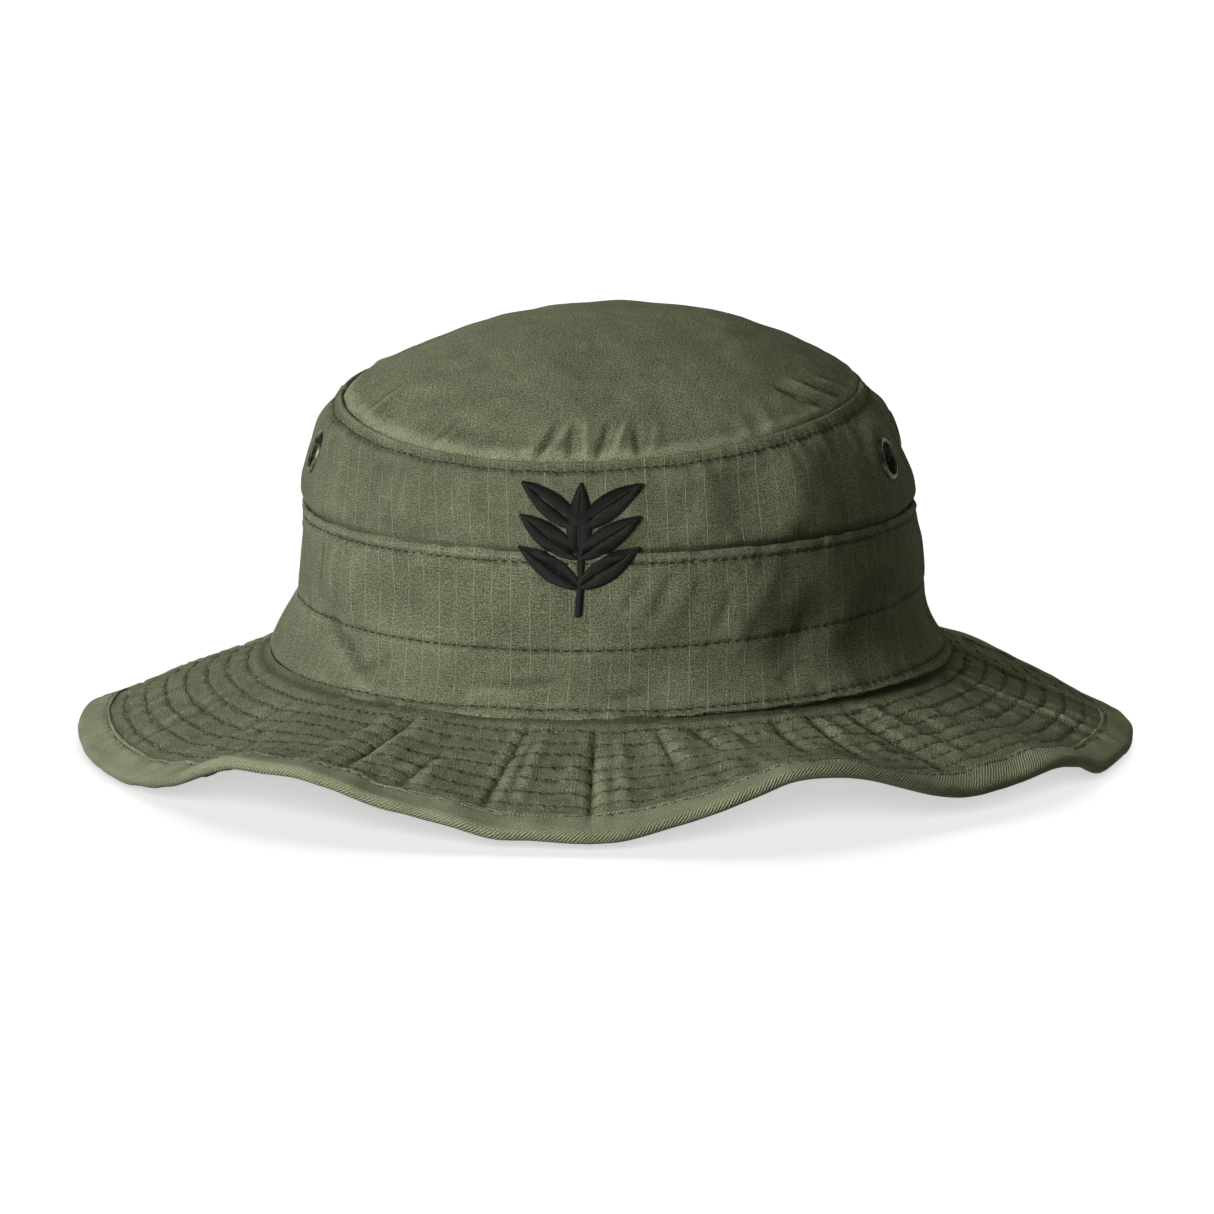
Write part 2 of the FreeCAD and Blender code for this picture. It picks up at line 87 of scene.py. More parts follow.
# Half the width and depth of the crown at its top seam, at the lower band's fold and at its stitched
# line, less the thread that stands on it.
CROWN_TIP = node_box("crown_top")[1]
TOP_HALF = CROWN_TIP[:2]
FOLD_HALF = node_box("band_seam_thread")[1][:2] - (0.7, 0.6)
STITCH_HALF = node_box("sweatband_thread")[1][:2] - (0.4, 0.3)
BAND_LOW, BAND_HIGH = node_box("lower_band_back")
FOLD_LEVEL = BAND_HIGH[2]
DOME_RISE = 23.0

# Radii that turn degrees round the hat into millimetres of cloth.
PANEL_RADIUS = 84.0
BAND_RADIUS = 90.0
BRIM_RADIUS = 96.0

# Lengths down the cloth, and the places of the sewn lines along them.
PANEL_LENGTH = 32.0
BAND_UPPER_LENGTH = 24.0
BAND_LOWER_LENGTH = 18.0
TOP_STITCH = 2.0
FOLD_STITCH = 1.9
MIDDLE_STITCH = BAND_UPPER_LENGTH
HEM_STITCH = BAND_UPPER_LENGTH + BAND_LOWER_LENGTH - 1.7
QUILTING = [4.5 + 34.0 / 6.0 * row for row in range(7)]
BINDING_STITCH = 44.0
STITCH_PITCH = 2.75
STITCH_SIZE = (2.0, 0.56, 0.5)
STITCH_LIFT = 0.16

WALL_THICKNESS = 0.6
BRIM_THICKNESS = WALL_THICKNESS * 0.8
SWEATBAND_THICKNESS = 0.5
CORE_THICKNESS = 0.6
TAPE_THICKNESS = 0.45

BRIM_SEAM_TURN = 97.0
BRIM_SLANT = 52.0
BRIM_ROOT_LEVEL = BAND_LOW[2] - 1.5
BRIM_EDGE_LEVEL = 1.7
LIFT_POWER = 1.6
# Distances from the seam at which the brim's cloth begins, behind the hem, and ends, inside the tape.
BRIM_CLOTH_REACH = (-2.4, 50.9)
# Height of the brim's cloth over its middle surface, and the deepest that it may dip from there.
CLOTH_HEIGHT = 1.05
LOWEST_CLOTH = -0.68

# Waves in the brim's edge: azimuth, rise, spread before it, spread after it.
WAVES = [
    (-33, 14.0, 9.5, 15.0),
    (2, -1.0, 12.0, 9.0),
    (26.5, 17.6, 10.2, 9.6),
    (43, 1.2, 6.0, 8.0),
    (59, 8.0, 9.5, 6.0),
    (78, 1.4, 5.0, 9.0),
    (112, -1.2, 12.0, 12.0),
    (144, 6.5, 11.0, 13.0),
    (-140, 6.0, 13.0, 12.0),
    (-112, -1.0, 12.0, 10.0),
    (-88, 3.0, 9.0, 9.0),
]

# Folds of the cloth: azimuth, level or distance from the seam, lean, length, width, height.
BRIM_FOLDS = [
    (-26, 18, 2, 40, 2.0, -1.7),
    (-29.5, 18, 2, 34, 2.4, 0.9),
    (-18, 30, -6, 24, 1.8, -0.8),
    (-8.2, 20, -4, 42, 1.8, -1.5),
    (-5, 22, -4, 34, 1.8, 0.7),
    (3, 24, 0, 42, 1.8, -1.5),
    (6.5, 22, 0, 36, 2.0, 0.8),
    (13, 14, 8, 20, 1.6, -0.9),
    (19, 12, 12, 18, 1.6, -0.9),
    (24, 12, 14, 18, 1.5, -0.8),
    (30, 16, -6, 30, 1.8, -0.9),
    (36.5, 18, -3, 34, 1.8, -0.8),
    (45, 20, 2, 38, 2.5, -1.4),
    (49.5, 20, 4, 34, 3.0, 0.7),
    (78.5, 26, 3, 52, 1.8, 1.3),
    (82.5, 24, 3, 48, 2.6, -1.5),
    (-52, 18, -5, 26, 2.2, -0.7),
    (-68, 22, 6, 30, 2.6, 0.6),
    (118, 20, -4, 34, 2.6, -0.9),
    (140, 22, 4, 30, 2.4, 0.8),
    (165, 18, 2, 26, 2.2, -0.8),
    (-120, 20, 5, 34, 2.6, -0.9),
    (-150, 22, -4, 30, 2.4, 0.8),
]
PANEL_FOLDS = [
    (29, 72, 30, 30, 5.5, -0.9),
    (42, 76, 24, 28, 6.0, 0.7),
    (56, 74, 20, 26, 6.0, -0.6),
    (-22, 76, -20, 30, 5.0, 0.7),
    (-46, 74, 16, 30, 4.6, -0.8),
    (-38, 78, 12, 22, 2.6, -0.5),
    (-58, 80, -10, 24, 3.0, 0.5),
    (20, 76, 40, 16, 2.6, -0.3),
    (46, 70, -30, 16, 3.4, 0.3),
    (-8, 82, 4, 14, 2.2, -0.4),
    (10, 76, 20, 18, 2.6, 0.4),
    (150, 78, 10, 22, 2.8, -0.6),
    (-150, 80, -14, 22, 2.8, 0.6),
    (120, 76, -8, 20, 2.6, 0.5),
    (-118, 78, 12, 22, 2.6, -0.5),
]
BAND_FOLDS = [
    (30, 50, 44, 26, 4.0, 0.7),
    (40, 42, 52, 26, 4.4, -0.9),
    (50, 44, 40, 24, 4.0, 0.6),
    (-48, 52, 10, 30, 4.4, 0.9),
    (-50, 35, -66, 26, 3.0, -1.2),
    (-45, 29.5, -68, 26, 2.4, 0.8),
    (9, 55, 34, 13, 1.7, -0.45),
    (14, 54, 30, 14, 1.8, -0.5),
    (19.5, 53, 26, 12, 1.8, -0.4),
    (25, 50, 22, 12, 1.8, -0.3),
    (-61, 53, 4, 20, 2.2, -0.7),
    (-55, 54, 8, 18, 2.4, 0.5),
    (-9, 32, 80, 15, 1.8, -0.6),
    (-15, 29, 84, 12, 1.5, 0.5),
    (8, 30, 78, 14, 1.6, -0.4),
    (38, 33, 60, 12, 1.8, -0.4),
    (-40, 32, 70, 14, 1.8, -0.4),
    (150, 52, 12, 18, 2.2, -0.6),
    (-145, 50, -14, 18, 2.2, -0.6),
    (110, 34, 74, 14, 1.8, -0.5),
]
DOME_FOLDS = [
    (-9, 6.0, 10, 12, 1.3, -0.75),
    (-6, 6.5, 16, 12, 1.4, 0.6),
    (-3, 5.5, -12, 11, 1.2, -0.6),
    (0.5, 6.5, -18, 12, 1.3, 0.6),
    (4, 6.0, 8, 12, 1.3, -0.7),
    (8, 6.5, 14, 12, 1.4, 0.6),
    (12, 5.5, -10, 11, 1.2, -0.6),
    (16, 6.0, 12, 10, 1.3, 0.4),
    (60, 8.0, -52, 18, 1.4, -1.1),
    (65, 9.0, -50, 18, 1.6, 0.8),
    (70, 7.0, -54, 16, 1.3, -1.1),
    (76, 7.0, -50, 13, 1.3, 0.7),
    (-35, 6.0, 14, 10, 1.4, -0.5),
    (-62, 6.5, -12, 12, 1.6, 0.5),
    (135, 6.5, 10, 12, 1.5, -0.7),
    (170, 6.0, -10, 12, 1.5, 0.6),
    (-150, 6.5, 12, 12, 1.5, -0.7),
    (-110, 6.0, -12, 12, 1.5, 0.5),
]

VENTS = ["left_front", "left_rear", "right_front", "right_rear"]
VENT_HOLE = 4.95
VENT_FLAT = (7.5, 13.0)
VENT_REACH = 15.0
EYELET_PROUD = 1.1


# ---------------------------------------------------------------- number helpers
def smoothstep(low, high, value):
    share = np.clip((value - low) / (high - low), 0.0, 1.0)
    return share * share * (3.0 - 2.0 * share)


def bell(distance, width):
    return np.exp(-((distance / width) ** 2))


def circle(angles):
    """Sine and cosine of some azimuths."""
    return np.sin(np.radians(angles)), np.cos(np.radians(angles))


def turn_from(angles, azimuth):
    """Degrees from an azimuth, the short way round."""
    return (angles - azimuth + 180.0) % 360.0 - 180.0


def between_corners(corner, across, on):
    """Value inside a cell. corner(0 or 1, 0 or 1) gives the values at its corners."""
    near = corner(0, 0) * (1 - across) + corner(1, 0) * across
    far = corner(0, 1) * (1 - across) + corner(1, 1) * across
    return near * (1 - on) + far * on


def noise(x, y, columns, seed):
    """Smooth seeded noise between -1 and 1. It repeats after the given number of cells along x."""
    heights = np.random.default_rng(seed).uniform(-1.0, 1.0, (columns, NOISE_ROWS))
    column = np.floor(x).astype(int)
    row = np.floor(y).astype(int)

    def corner(right, below):
        return heights[(column + right) % columns, (row + below) % NOISE_ROWS]

    return between_corners(corner, smoothstep(0.0, 1.0, x - column), smoothstep(0.0, 1.0, y - row))


def ripples(turns, down, *layers):
    """Noise on cloth that goes round the hat. A layer is (height, cells round, length, slant, seed)."""
    total = 0.0
    for height, cells, length, slant, seed in layers:
        total = total + height * noise(turns * cells, down / length + turns * slant, cells, seed)
    return total


def folds(angles, levels, radius, marks):
    """Heights of straight soft folds on a surface that goes round the hat."""
    total = np.zeros(np.broadcast(angles, levels).shape)
    for azimuth, level, lean, length, width, height in marks:
        lean = math.radians(lean)
        across = np.radians(turn_from(angles, azimuth)) * radius
        down = levels - level
        along = across * math.sin(lean) + down * math.cos(lean)
        aside = across * math.cos(lean) - down * math.sin(lean)
        total += height * bell(aside, width) * np.exp(-((2.0 * along / length) ** 4))
    return total


def seam_relief(angles, seams, radius, ridge, groove):
    """Height beside seams that run down the cloth.

    Each has a ridge (height, distance, width) on either side of its groove (depth, width).
    """
    rise, apart, spread = ridge
    depth, width = groove
    total = 0.0
    for seam in seams:
        beside = np.radians(angles - seam) * radius
        total = total + rise * bell(np.abs(beside) - apart, spread) - depth * bell(beside, width)
    return total


def unit(vectors):
    return vectors / np.linalg.norm(vectors, axis=-1, keepdims=True)


def normals_of(grid, ring):
    """Outward normals of a grid whose rows go down or outward and whose columns go round."""
    down = np.gradient(grid, axis=0)
    if ring:
        round_ = (np.roll(grid, -1, axis=1) - np.roll(grid, 1, axis=1)) / 2.0
    else:
        round_ = np.gradient(grid, axis=1)
    return unit(np.cross(down, round_))


def turn_normals(grid):
    """Normals of the grid of a full turn, whose last column repeats the first."""
    normals = normals_of(grid[:, :-1], True)
    return np.concatenate([normals, normals[:, :1]], axis=1)


def displaced(grid, height):
    """The grid of a full turn pushed along its normals, and those normals."""
    normals = turn_normals(grid)
    return grid + normals * height[..., None], normals


def blurred(values, reach):
    """Mean of each value and its neighbours, both ways, over a reach of grid steps."""
    for axis, mode in ((0, "edge"), (1, "wrap")):
        padding = [(0, 0), (0, 0)]
        padding[axis] = (reach, reach)
        padded = np.pad(values, padding, mode=mode)
        windows = np.lib.stride_tricks.sliding_window_view(padded, 2 * reach + 1, axis=axis)
        values = windows.mean(axis=-1)
    return values


# The relief is used as painted shade in the cloth's colour: darker in valleys and folds, lighter on ridges,
# partly as wear and partly as painted highlight.
def relief_of(height):
    """How far each point stands above the cloth near it, from -1 in a valley to 1 on a ridge."""
    return np.clip((height - blurred(height, 4)) / 0.45, -1.0, 1.0)


def travelled(grid):
    """Distance down a grid from its first row, the same for every column."""
    steps = np.linalg.norm(np.diff(grid, axis=0), axis=2).mean(axis=1)
    return np.concatenate([[0.0], np.cumsum(steps)])[:, None]


def flat_maps(across, down):
    """Places on the flat cloth, from millimetres across it and down it."""
    return np.stack(np.broadcast_arrays(across, down), axis=-1)


def sewn_phase(lengths):
    """Counts stitches along a closed line, a whole number of them in all."""
    total = lengths[..., -1:]
    return lengths / total * np.round(total / STITCH_PITCH)


def stitch_ripple(phase):
    """One where a stitch goes into the cloth, zero between."""
    return 0.5 + 0.5 * np.cos(FULL_TURN * phase)


# ---------------------------------------------------------------- meshes
def make_piece(name, vertices, faces, material, slot, nodes, maps=None, relief_shade=None, sharp=40.0):
    """A mesh piece that rides on the hat. Vertices and maps are in millimetres."""
    mesh = bpy.data.meshes.new(name)
    mesh.from_pydata((np.asarray(vertices) * MM).tolist(), [], faces)
    mesh.polygons.foreach_set("use_smooth", [True] * len(mesh.polygons))
    mesh.set_sharp_from_angle(angle=math.radians(sharp))
    if maps is not None:
        corners = np.zeros(len(mesh.loops), np.int32)
        mesh.loops.foreach_get("vertex_index", corners)
        layer = mesh.uv_layers.new(name="cloth")
        layer.data.foreach_set("uv", np.asarray(maps, np.float32)[corners].ravel())
    # The relief is stored as an attribute that the cloth's colour reads, for painted shade in valleys and
    # lighter ridges.
    if relief_shade is not None:
        layer = mesh.attributes.new("relief_shade", "FLOAT", "POINT")
        layer.data.foreach_set("value", np.asarray(relief_shade, np.float32))
    mesh.materials.append(material)
    piece = bpy.data.objects.new(name, mesh)
    bpy.context.scene.collection.objects.link(piece)
    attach(piece, "root")
    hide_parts(*nodes)


def grid_faces(first, rows, columns, ring, flip, keep=None):
    """Quads of a grid of points that starts at one vertex number."""
    spans = columns if ring else columns - 1
    row, column = np.meshgrid(np.arange(rows - 1), np.arange(spans), indexing="ij")
    upper_left = first + row * columns + column
    upper_right = first + row * columns + (column + 1) % columns
    order = [upper_left, upper_right, upper_right + columns, upper_left + columns]
    if not flip:
        order.reverse()
    quads = np.stack(order, axis=-1).reshape(-1, 4)
    if keep is not None:
        quads = quads[keep[:, :spans].reshape(-1)]
    return quads.tolist()


def rim_faces(upper, lower, ring):
    """Quads that join two rows of vertex numbers."""
    count = len(upper)
    faces = []
    for here in range(count if ring else count - 1):
        after = (here + 1) % count
        faces.append([upper[here], upper[after], lower[after], lower[here]])
    return faces


def cloth_piece(
    name,
    grid,
    thickness,
    material,
    slot,
    nodes,
    maps,
    relief_shade,
    columns=slice(None),
    ring=False,
    lining_step=1,
    fine_rows=0,
    keep=None,
    closed_centre=False,
):
    """A closed sheet of cloth over some columns of a grid.

    Its lining lies one thickness below the grid, and has fewer rows after the fine ones. The faces
    that keep leaves out are a hole.
    """
    outer, maps, relief_shade = grid[:, columns], maps[:, columns], relief_shade[:, columns]
    rows, width = outer.shape[:2]
    chosen = [row for row in range(rows) if row < fine_rows or row % lining_step == 0]
    if chosen[-1] != rows - 1:
        chosen.append(rows - 1)
    lining = (outer - normals_of(outer, ring) * thickness)[chosen]
    size = rows * width
    lining_keep = None
    if keep is not None:
        keep = keep[:, columns]
        lining_keep = keep[chosen[:-1]]
    faces = grid_faces(0, rows, width, ring, False, keep)
    faces += grid_faces(size, len(chosen), width, ring, True, lining_keep)
    top = list(range(width))
    lining_top = list(range(size, size + width))
    if closed_centre:
        faces += [top[::-1], lining_top]
    else:
        faces += rim_faces(top, lining_top, ring)
    bottom = list(range(size - width, size))
    lining_bottom = list(range(size + (len(chosen) - 1) * width, size + len(chosen) * width))
    faces += rim_faces(lining_bottom, bottom, ring)
    if not ring:
        for column in (0, width - 1):
            outer_end = [row * width + column for row in range(rows)]
            inner_end = [size + row * width + column for row in range(len(chosen))]
            end = outer_end + inner_end[::-1]
            faces.append(end if column == 0 else end[::-1])
    vertices = np.concatenate([outer.reshape(-1, 3), lining.reshape(-1, 3)])
    all_maps = np.concatenate([maps.reshape(-1, 2), maps[chosen].reshape(-1, 2)])
    all_relief_shade = np.concatenate([relief_shade.ravel(), -0.3 * relief_shade[chosen].ravel()])
    make_piece(name, vertices, faces, material, slot, nodes, all_maps, all_relief_shade)


def join_meshes(parts):
    """Vertices and faces of several meshes together."""
    vertices = []
    faces = []
    start = 0
    for part_vertices, part_faces in parts:
        vertices.append(part_vertices)
        faces += [[corner + start for corner in face] for face in part_faces]
        start += len(part_vertices)
    return np.concatenate(vertices), faces


def sample_line(points, normals, phase):
    """Middle, direction and normal of each stitch of a sewn line, whose phase counts the stitches."""
    places = np.arange(round(phase[-1])) + 0.5

    def at(values, where):
        return np.stack([np.interp(where, phase, values[:, k]) for k in range(3)], axis=1)

    ahead = at(points, places + 0.3) - at(points, places - 0.3)
    middle = (at(points, places + 0.25) + at(points, places - 0.25)) / 2.0
    return middle, unit(ahead), unit(at(normals, places))


def stitch_shape(length, width, height):
    """One stitch: a grain of thread whose ends dip into the cloth."""
    sides = 6
    stops = [(-0.78, 0.55, -0.35), (-0.4, 0.95, 0.0), (0.4, 0.95, 0.0), (0.78, 0.55, -0.35)]
    around = np.arange(sides) * FULL_TURN / sides
    vertices = [(-length / 2, 0.0, -height)]
    for along, size, sink in stops:
        for angle in around:
            side = math.cos(angle) * width / 2 * size
            rise = math.sin(angle) * height / 2 * size + sink * height
            vertices.append((along * length / 2, side, rise))
    vertices.append((length / 2, 0.0, -height))
    faces = []
    last = len(vertices) - 1
    for k in range(sides):
        following = (k + 1) % sides
        faces.append([0, 1 + following, 1 + k])
        faces.append([last, last - sides + k, last - sides + following])
        for ring in range(len(stops) - 1):
            low = 1 + ring * sides
            faces.append([low + k, low + following, low + sides + following, low + sides + k])
    return np.array(vertices), faces


STITCH, STITCH_FACES = stitch_shape(*STITCH_SIZE)


def stitch_piece(name, lines, nodes, material, seed):
    """Every stitch of some sewn lines. A line is (points, normals, phase)."""
    parts = []
    generator = np.random.default_rng(seed)
    for points, normals, phase in lines:
        middle, ahead, up = sample_line(points, normals, phase)
        side = unit(np.cross(up, ahead))
        ahead = np.cross(side, up)
        turn = generator.normal(0.0, 0.05, (len(middle), 1))
        ahead, side = ahead + side * turn, side - ahead * turn
        stretch = generator.uniform(0.88, 1.08, (len(middle), 1, 1))
        placed = (
            middle[:, None]
            + ahead[:, None] * STITCH[None, :, :1] * stretch
            + side[:, None] * STITCH[None, :, 1:2]
            + up[:, None] * (STITCH[None, :, 2:] + STITCH_LIFT)
        )
        parts += [(stitch, STITCH_FACES) for stitch in placed]
    make_piece(name, *join_meshes(parts), material, "thread", nodes, sharp=60.0)


def tube_mesh(points, radius, up, flatten=1.0):
    """Vertices and faces of a round bar along some points."""
    sides = 6
    ahead = unit(np.gradient(points, axis=0))
    side = unit(np.cross(np.broadcast_to(up, points.shape), ahead))
    rise = np.cross(ahead, side)
    radius = np.broadcast_to(radius, len(points))[:, None, None]
    around = (np.arange(sides) * FULL_TURN / sides)[None, :, None]
    rings = (
        points[:, None]
        + side[:, None] * (np.cos(around) * radius)
        + rise[:, None] * (np.sin(around) * radius * flatten)
    )
    faces = grid_faces(0, len(points), sides, True, True)
    faces.append(list(range(sides)))
    faces.append(list(range((len(points) - 1) * sides, len(points) * sides))[::-1])
    return rings.reshape(-1, 3), faces


# ---------------------------------------------------------------- materials
class Finish:
    """A Principled material and the nodes that feed it."""

    def __init__(self, name, **values):
        self.material = bpy.data.materials.new(name)
        self.material.use_nodes = True
        self.tree = self.material.node_tree
        self.shader = self.tree.nodes["Principled BSDF"]
        for socket, value in values.items():
            self.shader.inputs[socket.replace("_", " ")].default_value = value

    def node(self, kind, inputs=(), **settings):
        made = self.tree.nodes.new(kind)
        for key, value in settings.items():
            setattr(made, key, value)
        for socket, value in dict(inputs).items():
            if isinstance(value, bpy.types.NodeSocket):
                self.tree.links.new(value, made.inputs[socket])
            else:
                made.inputs[socket].default_value = value
        return made

    def maths(self, operation, first, second=0.0, third=0.0):
        inputs = {0: first, 1: second, 2: third}
        return self.node("ShaderNodeMath", inputs, operation=operation).outputs[0]

    def plus(self, value, weight, base):
        """A value times its weight, added to a base."""
        return self.maths("MULTIPLY_ADD", value, weight, base)

    def mixed(self, tone, *parts):
        """A tone with each (value, weight) added, where a value of one half adds nothing."""
        for value, weight in parts:
            tone = self.plus(self.maths("SUBTRACT", value, 0.5), weight, tone)
        return tone

    def blend(self, first, share, second):
        """A share of one value and the rest of another."""
        return self.plus(first, share, self.maths("MULTIPLY", second, 1.0 - share))

    def wave(self, place, length):
        """Sine wave of this length along a place."""
        return self.maths("SINE", self.maths("MULTIPLY", place, FULL_TURN / length))

    def noise(self, vector, scale, detail, roughness):
        inputs = {"Vector": vector, "Scale": scale, "Detail": detail, "Roughness": roughness}
        return self.node("ShaderNodeTexNoise", inputs).outputs["Fac"]

    def solid_noise(self, scale, detail=2.0, roughness=0.5):
        """Noise in the space of the hat, in cells a metre."""
        place = self.node("ShaderNodeTexCoord").outputs["Object"]
        return self.noise(place, scale, detail, roughness)

    def cloth_map(self):
        return self.node("ShaderNodeUVMap", uv_map="cloth").outputs["UV"]

    def cloth_place(self):
        """Millimetres across and down the flat cloth."""
        parts = self.node("ShaderNodeSeparateXYZ", {0: self.cloth_map()})
        return parts.outputs["X"], parts.outputs["Y"]

    def cloth_noise(self, across, down, detail=2.0, roughness=0.5):
        """Noise on the flat cloth, in cells a millimetre across and down it."""
        inputs = {0: self.cloth_map(), 1: (across, down, 1.0)}
        place = self.node("ShaderNodeVectorMath", inputs, operation="MULTIPLY").outputs[0]
        return self.noise(place, 1.0, detail, roughness)

    # Painted shade and highlight: the relief darkens the cloth in valleys and lightens it on ridges.
    def relief_shade(self):
        return self.node("ShaderNodeAttribute", attribute_name="relief_shade").outputs["Fac"]

    def eased(self, value, low, high, start=0.0, end=1.0):
        inputs = {"Value": value, "From Min": low, "From Max": high, "To Min": start, "To Max": end}
        made = self.node("ShaderNodeMapRange", inputs, interpolation_type="SMOOTHSTEP")
        return made.outputs["Result"]

    def colour(self, value, dark, middle, light, middle_place=0.5):
        """Colours the material along a ramp of three shades."""
        ramp = self.node("ShaderNodeValToRGB", {"Fac": value})
        elements = ramp.color_ramp.elements
        elements.new(0.5)
        for element, position, shade in zip(elements, (0.0, middle_place, 1.0), (dark, middle, light)):
            element.position = position
            element.color = (*shade, 1.0)
        self.tree.links.new(ramp.outputs["Color"], self.shader.inputs["Base Color"])

    def rough(self, value):
        self.tree.links.new(value, self.shader.inputs["Roughness"])

    def bump(self, height, distance, strength=1.0):
        inputs = {"Height": height, "Distance": distance, "Strength": strength}
        made = self.node("ShaderNodeBump", inputs)
        self.tree.links.new(made.outputs["Normal"], self.shader.inputs["Normal"])


COTTON = {"Sheen_Weight": 0.06, "Sheen_Roughness": 0.5, "Specular_IOR_Level": 0.12}
RIPSTOP_PITCH = 5.4
WEAVE_PITCH = 0.42


def ripstop_finish(name, grid_strength, tone_shift, relief_shade_strength=0.35):
    """Olive ripstop: plain weave with a thicker thread every few millimetres, a little faded and dusty, with
    painted shade in its valleys and lighter ridges.
    """
    finish = Finish(name, Roughness=0.85, Sheen_Tint=(0.8, 0.82, 0.7, 1.0), **COTTON)
    across, down = finish.cloth_place()
    wander = finish.cloth_noise(0.08, 0.08, 1.0)
    lines = []
    for place in (across, down):
        shifted = finish.plus(wander, 0.9, place)
        share = finish.maths("FRACT", finish.maths("DIVIDE", shifted, RIPSTOP_PITCH))
        away = finish.maths("ABSOLUTE", finish.maths("SUBTRACT", share, 0.5))
        lines.append(finish.eased(away, 0.01, 0.03, 1.0, 0.0))
    patchy = finish.cloth_noise(0.11, 0.11)
    strong = finish.maths("MULTIPLY", lines[0], finish.eased(patchy, 0.3, 0.65))
    weak = finish.maths("MULTIPLY", lines[1], finish.eased(patchy, 0.45, 0.75, 0.0, 0.6))
    grid = finish.maths("MAXIMUM", strong, weak)
    warp = finish.cloth_noise(2.8, 0.35, 1.0)
    weft = finish.cloth_noise(0.35, 2.8, 1.0)
    grain = finish.cloth_noise(2.0, 2.6, 2.0, 0.7)
    mottle = finish.cloth_noise(0.05, 0.05, 3.0, 0.55)
    weave = finish.maths("MULTIPLY", finish.wave(across, WEAVE_PITCH), finish.wave(down, WEAVE_PITCH))
    tone = finish.plus(grid, grid_strength, 0.47 + tone_shift)
    tone = finish.mixed(tone, (warp, 0.4), (weft, 0.55), (grain, 2.6), (mottle, 0.45))
    # Painted shade in valleys and folds. The lighter ridges are partly wear and partly painted highlight.
    tone = finish.plus(finish.relief_shade(), relief_shade_strength, tone)
    tone = finish.plus(weave, 0.035, tone)
    finish.colour(tone, (0.045, 0.049, 0.026), (0.17, 0.18, 0.108), (0.36, 0.37, 0.245))
    height = finish.plus(weave, 0.22, finish.maths("MULTIPLY", grid, 0.5))
    for value, weight in ((warp, 0.4), (weft, 0.5), (grain, 1.0)):
        height = finish.plus(value, weight, height)
    finish.bump(height, 0.0006)
    finish.rough(finish.eased(mottle, 0.3, 0.7, 0.8, 0.92))
    return finish.material


def tape_finish():
    """Olive bias tape, cut across the weave, so its fine ribs run slantwise."""
    finish = Finish("olive_bias_tape", Roughness=0.84, **COTTON)
    across, down = finish.cloth_place()
    wander = finish.cloth_noise(0.3, 0.3, 1.0)
    rib = finish.wave(finish.plus(wander, 0.8, finish.maths("ADD", across, down)), 0.98)
    thread = finish.wave(finish.maths("SUBTRACT", across, down), 0.55)
    grain = finish.cloth_noise(2.0, 2.0, 2.0, 0.6)
    mottle = finish.cloth_noise(0.06, 0.12, 3.0)
    tone = finish.mixed(finish.plus(rib, 0.16, 0.49), (grain, 1.2), (mottle, 0.6))
    # Painted shade in the tape's dips and folds, and lighter ridges, as on the ripstop.
    tone = finish.plus(finish.relief_shade(), 0.22, tone)
    finish.colour(tone, (0.05, 0.054, 0.03), (0.2, 0.21, 0.13), (0.38, 0.39, 0.26))
    height = finish.plus(thread, 0.03, finish.maths("MULTIPLY", rib, 0.22))
    finish.bump(finish.plus(grain, 0.8, height), 0.0005)
    return finish.material


def twill_finish():
    """Dark cotton twill of the sweatband, a little greasy where it meets the head."""
    finish = Finish("sweatband_twill", Roughness=0.8, Sheen_Weight=0.15, Specular_IOR_Level=0.3)
    rib = finish.wave(finish.maths("ADD", *finish.cloth_place()), 0.9)
    grain = finish.cloth_noise(1.8, 1.8)
    mottle = finish.cloth_noise(0.05, 0.1, 3.0)
    tone = finish.mixed(finish.plus(rib, 0.08, 0.5), (grain, 0.4), (mottle, 0.7))
    finish.colour(tone, (0.05, 0.054, 0.035), (0.1, 0.106, 0.07), (0.17, 0.18, 0.12))
    finish.bump(finish.plus(rib, 0.4, grain), 0.0003, 0.8)
    finish.rough(finish.eased(mottle, 0.3, 0.7, 0.6, 0.85))
    return finish.material


def core_finish():
    """Pale stiff interlining felt inside the brim."""
    finish = Finish("interlining_felt", Roughness=0.95, Specular_IOR_Level=0.15)
    fibres = finish.solid_noise(1800.0, 4.0, 0.7)
    tone = finish.blend(fibres, 0.6, finish.solid_noise(90.0))
    finish.colour(tone, (0.4, 0.39, 0.33), (0.56, 0.55, 0.48), (0.7, 0.69, 0.62))
    finish.bump(fibres, 0.0003, 0.6)
    return finish.material


def thread_finish(name, dark, middle, light, roughness, sheen):
    """Twisted sewing thread, with fine plies and lighter patches here and there."""
    finish = Finish(name, Roughness=roughness, Sheen_Weight=sheen, Specular_IOR_Level=0.22)
    plies = finish.solid_noise(3500.0, 2.0, 0.6)
    tone = finish.blend(plies, 0.45, finish.solid_noise(130.0, 3.0, 0.6))
    finish.colour(finish.eased(tone, 0.3, 0.7), dark, middle, light, middle_place=0.72)
    finish.bump(plies, 0.00015, 0.7)
    return finish.material


def brass_finish():
    """Blackened brass, rubbed back to a dull metal here and there."""
    finish = Finish("blackened_brass", Metallic=0.85, Roughness=0.42)
    rubbed = finish.solid_noise(900.0, 4.0, 0.65)
    tone = finish.eased(finish.blend(rubbed, 0.6, finish.solid_noise(160.0)), 0.4, 0.7)
    finish.colour(tone, (0.03, 0.03, 0.022), (0.085, 0.08, 0.06), (0.26, 0.245, 0.18))
    finish.rough(finish.eased(rubbed, 0.3, 0.7, 0.34, 0.6))
    finish.bump(rubbed, 0.00008, 0.5)
    return finish.material


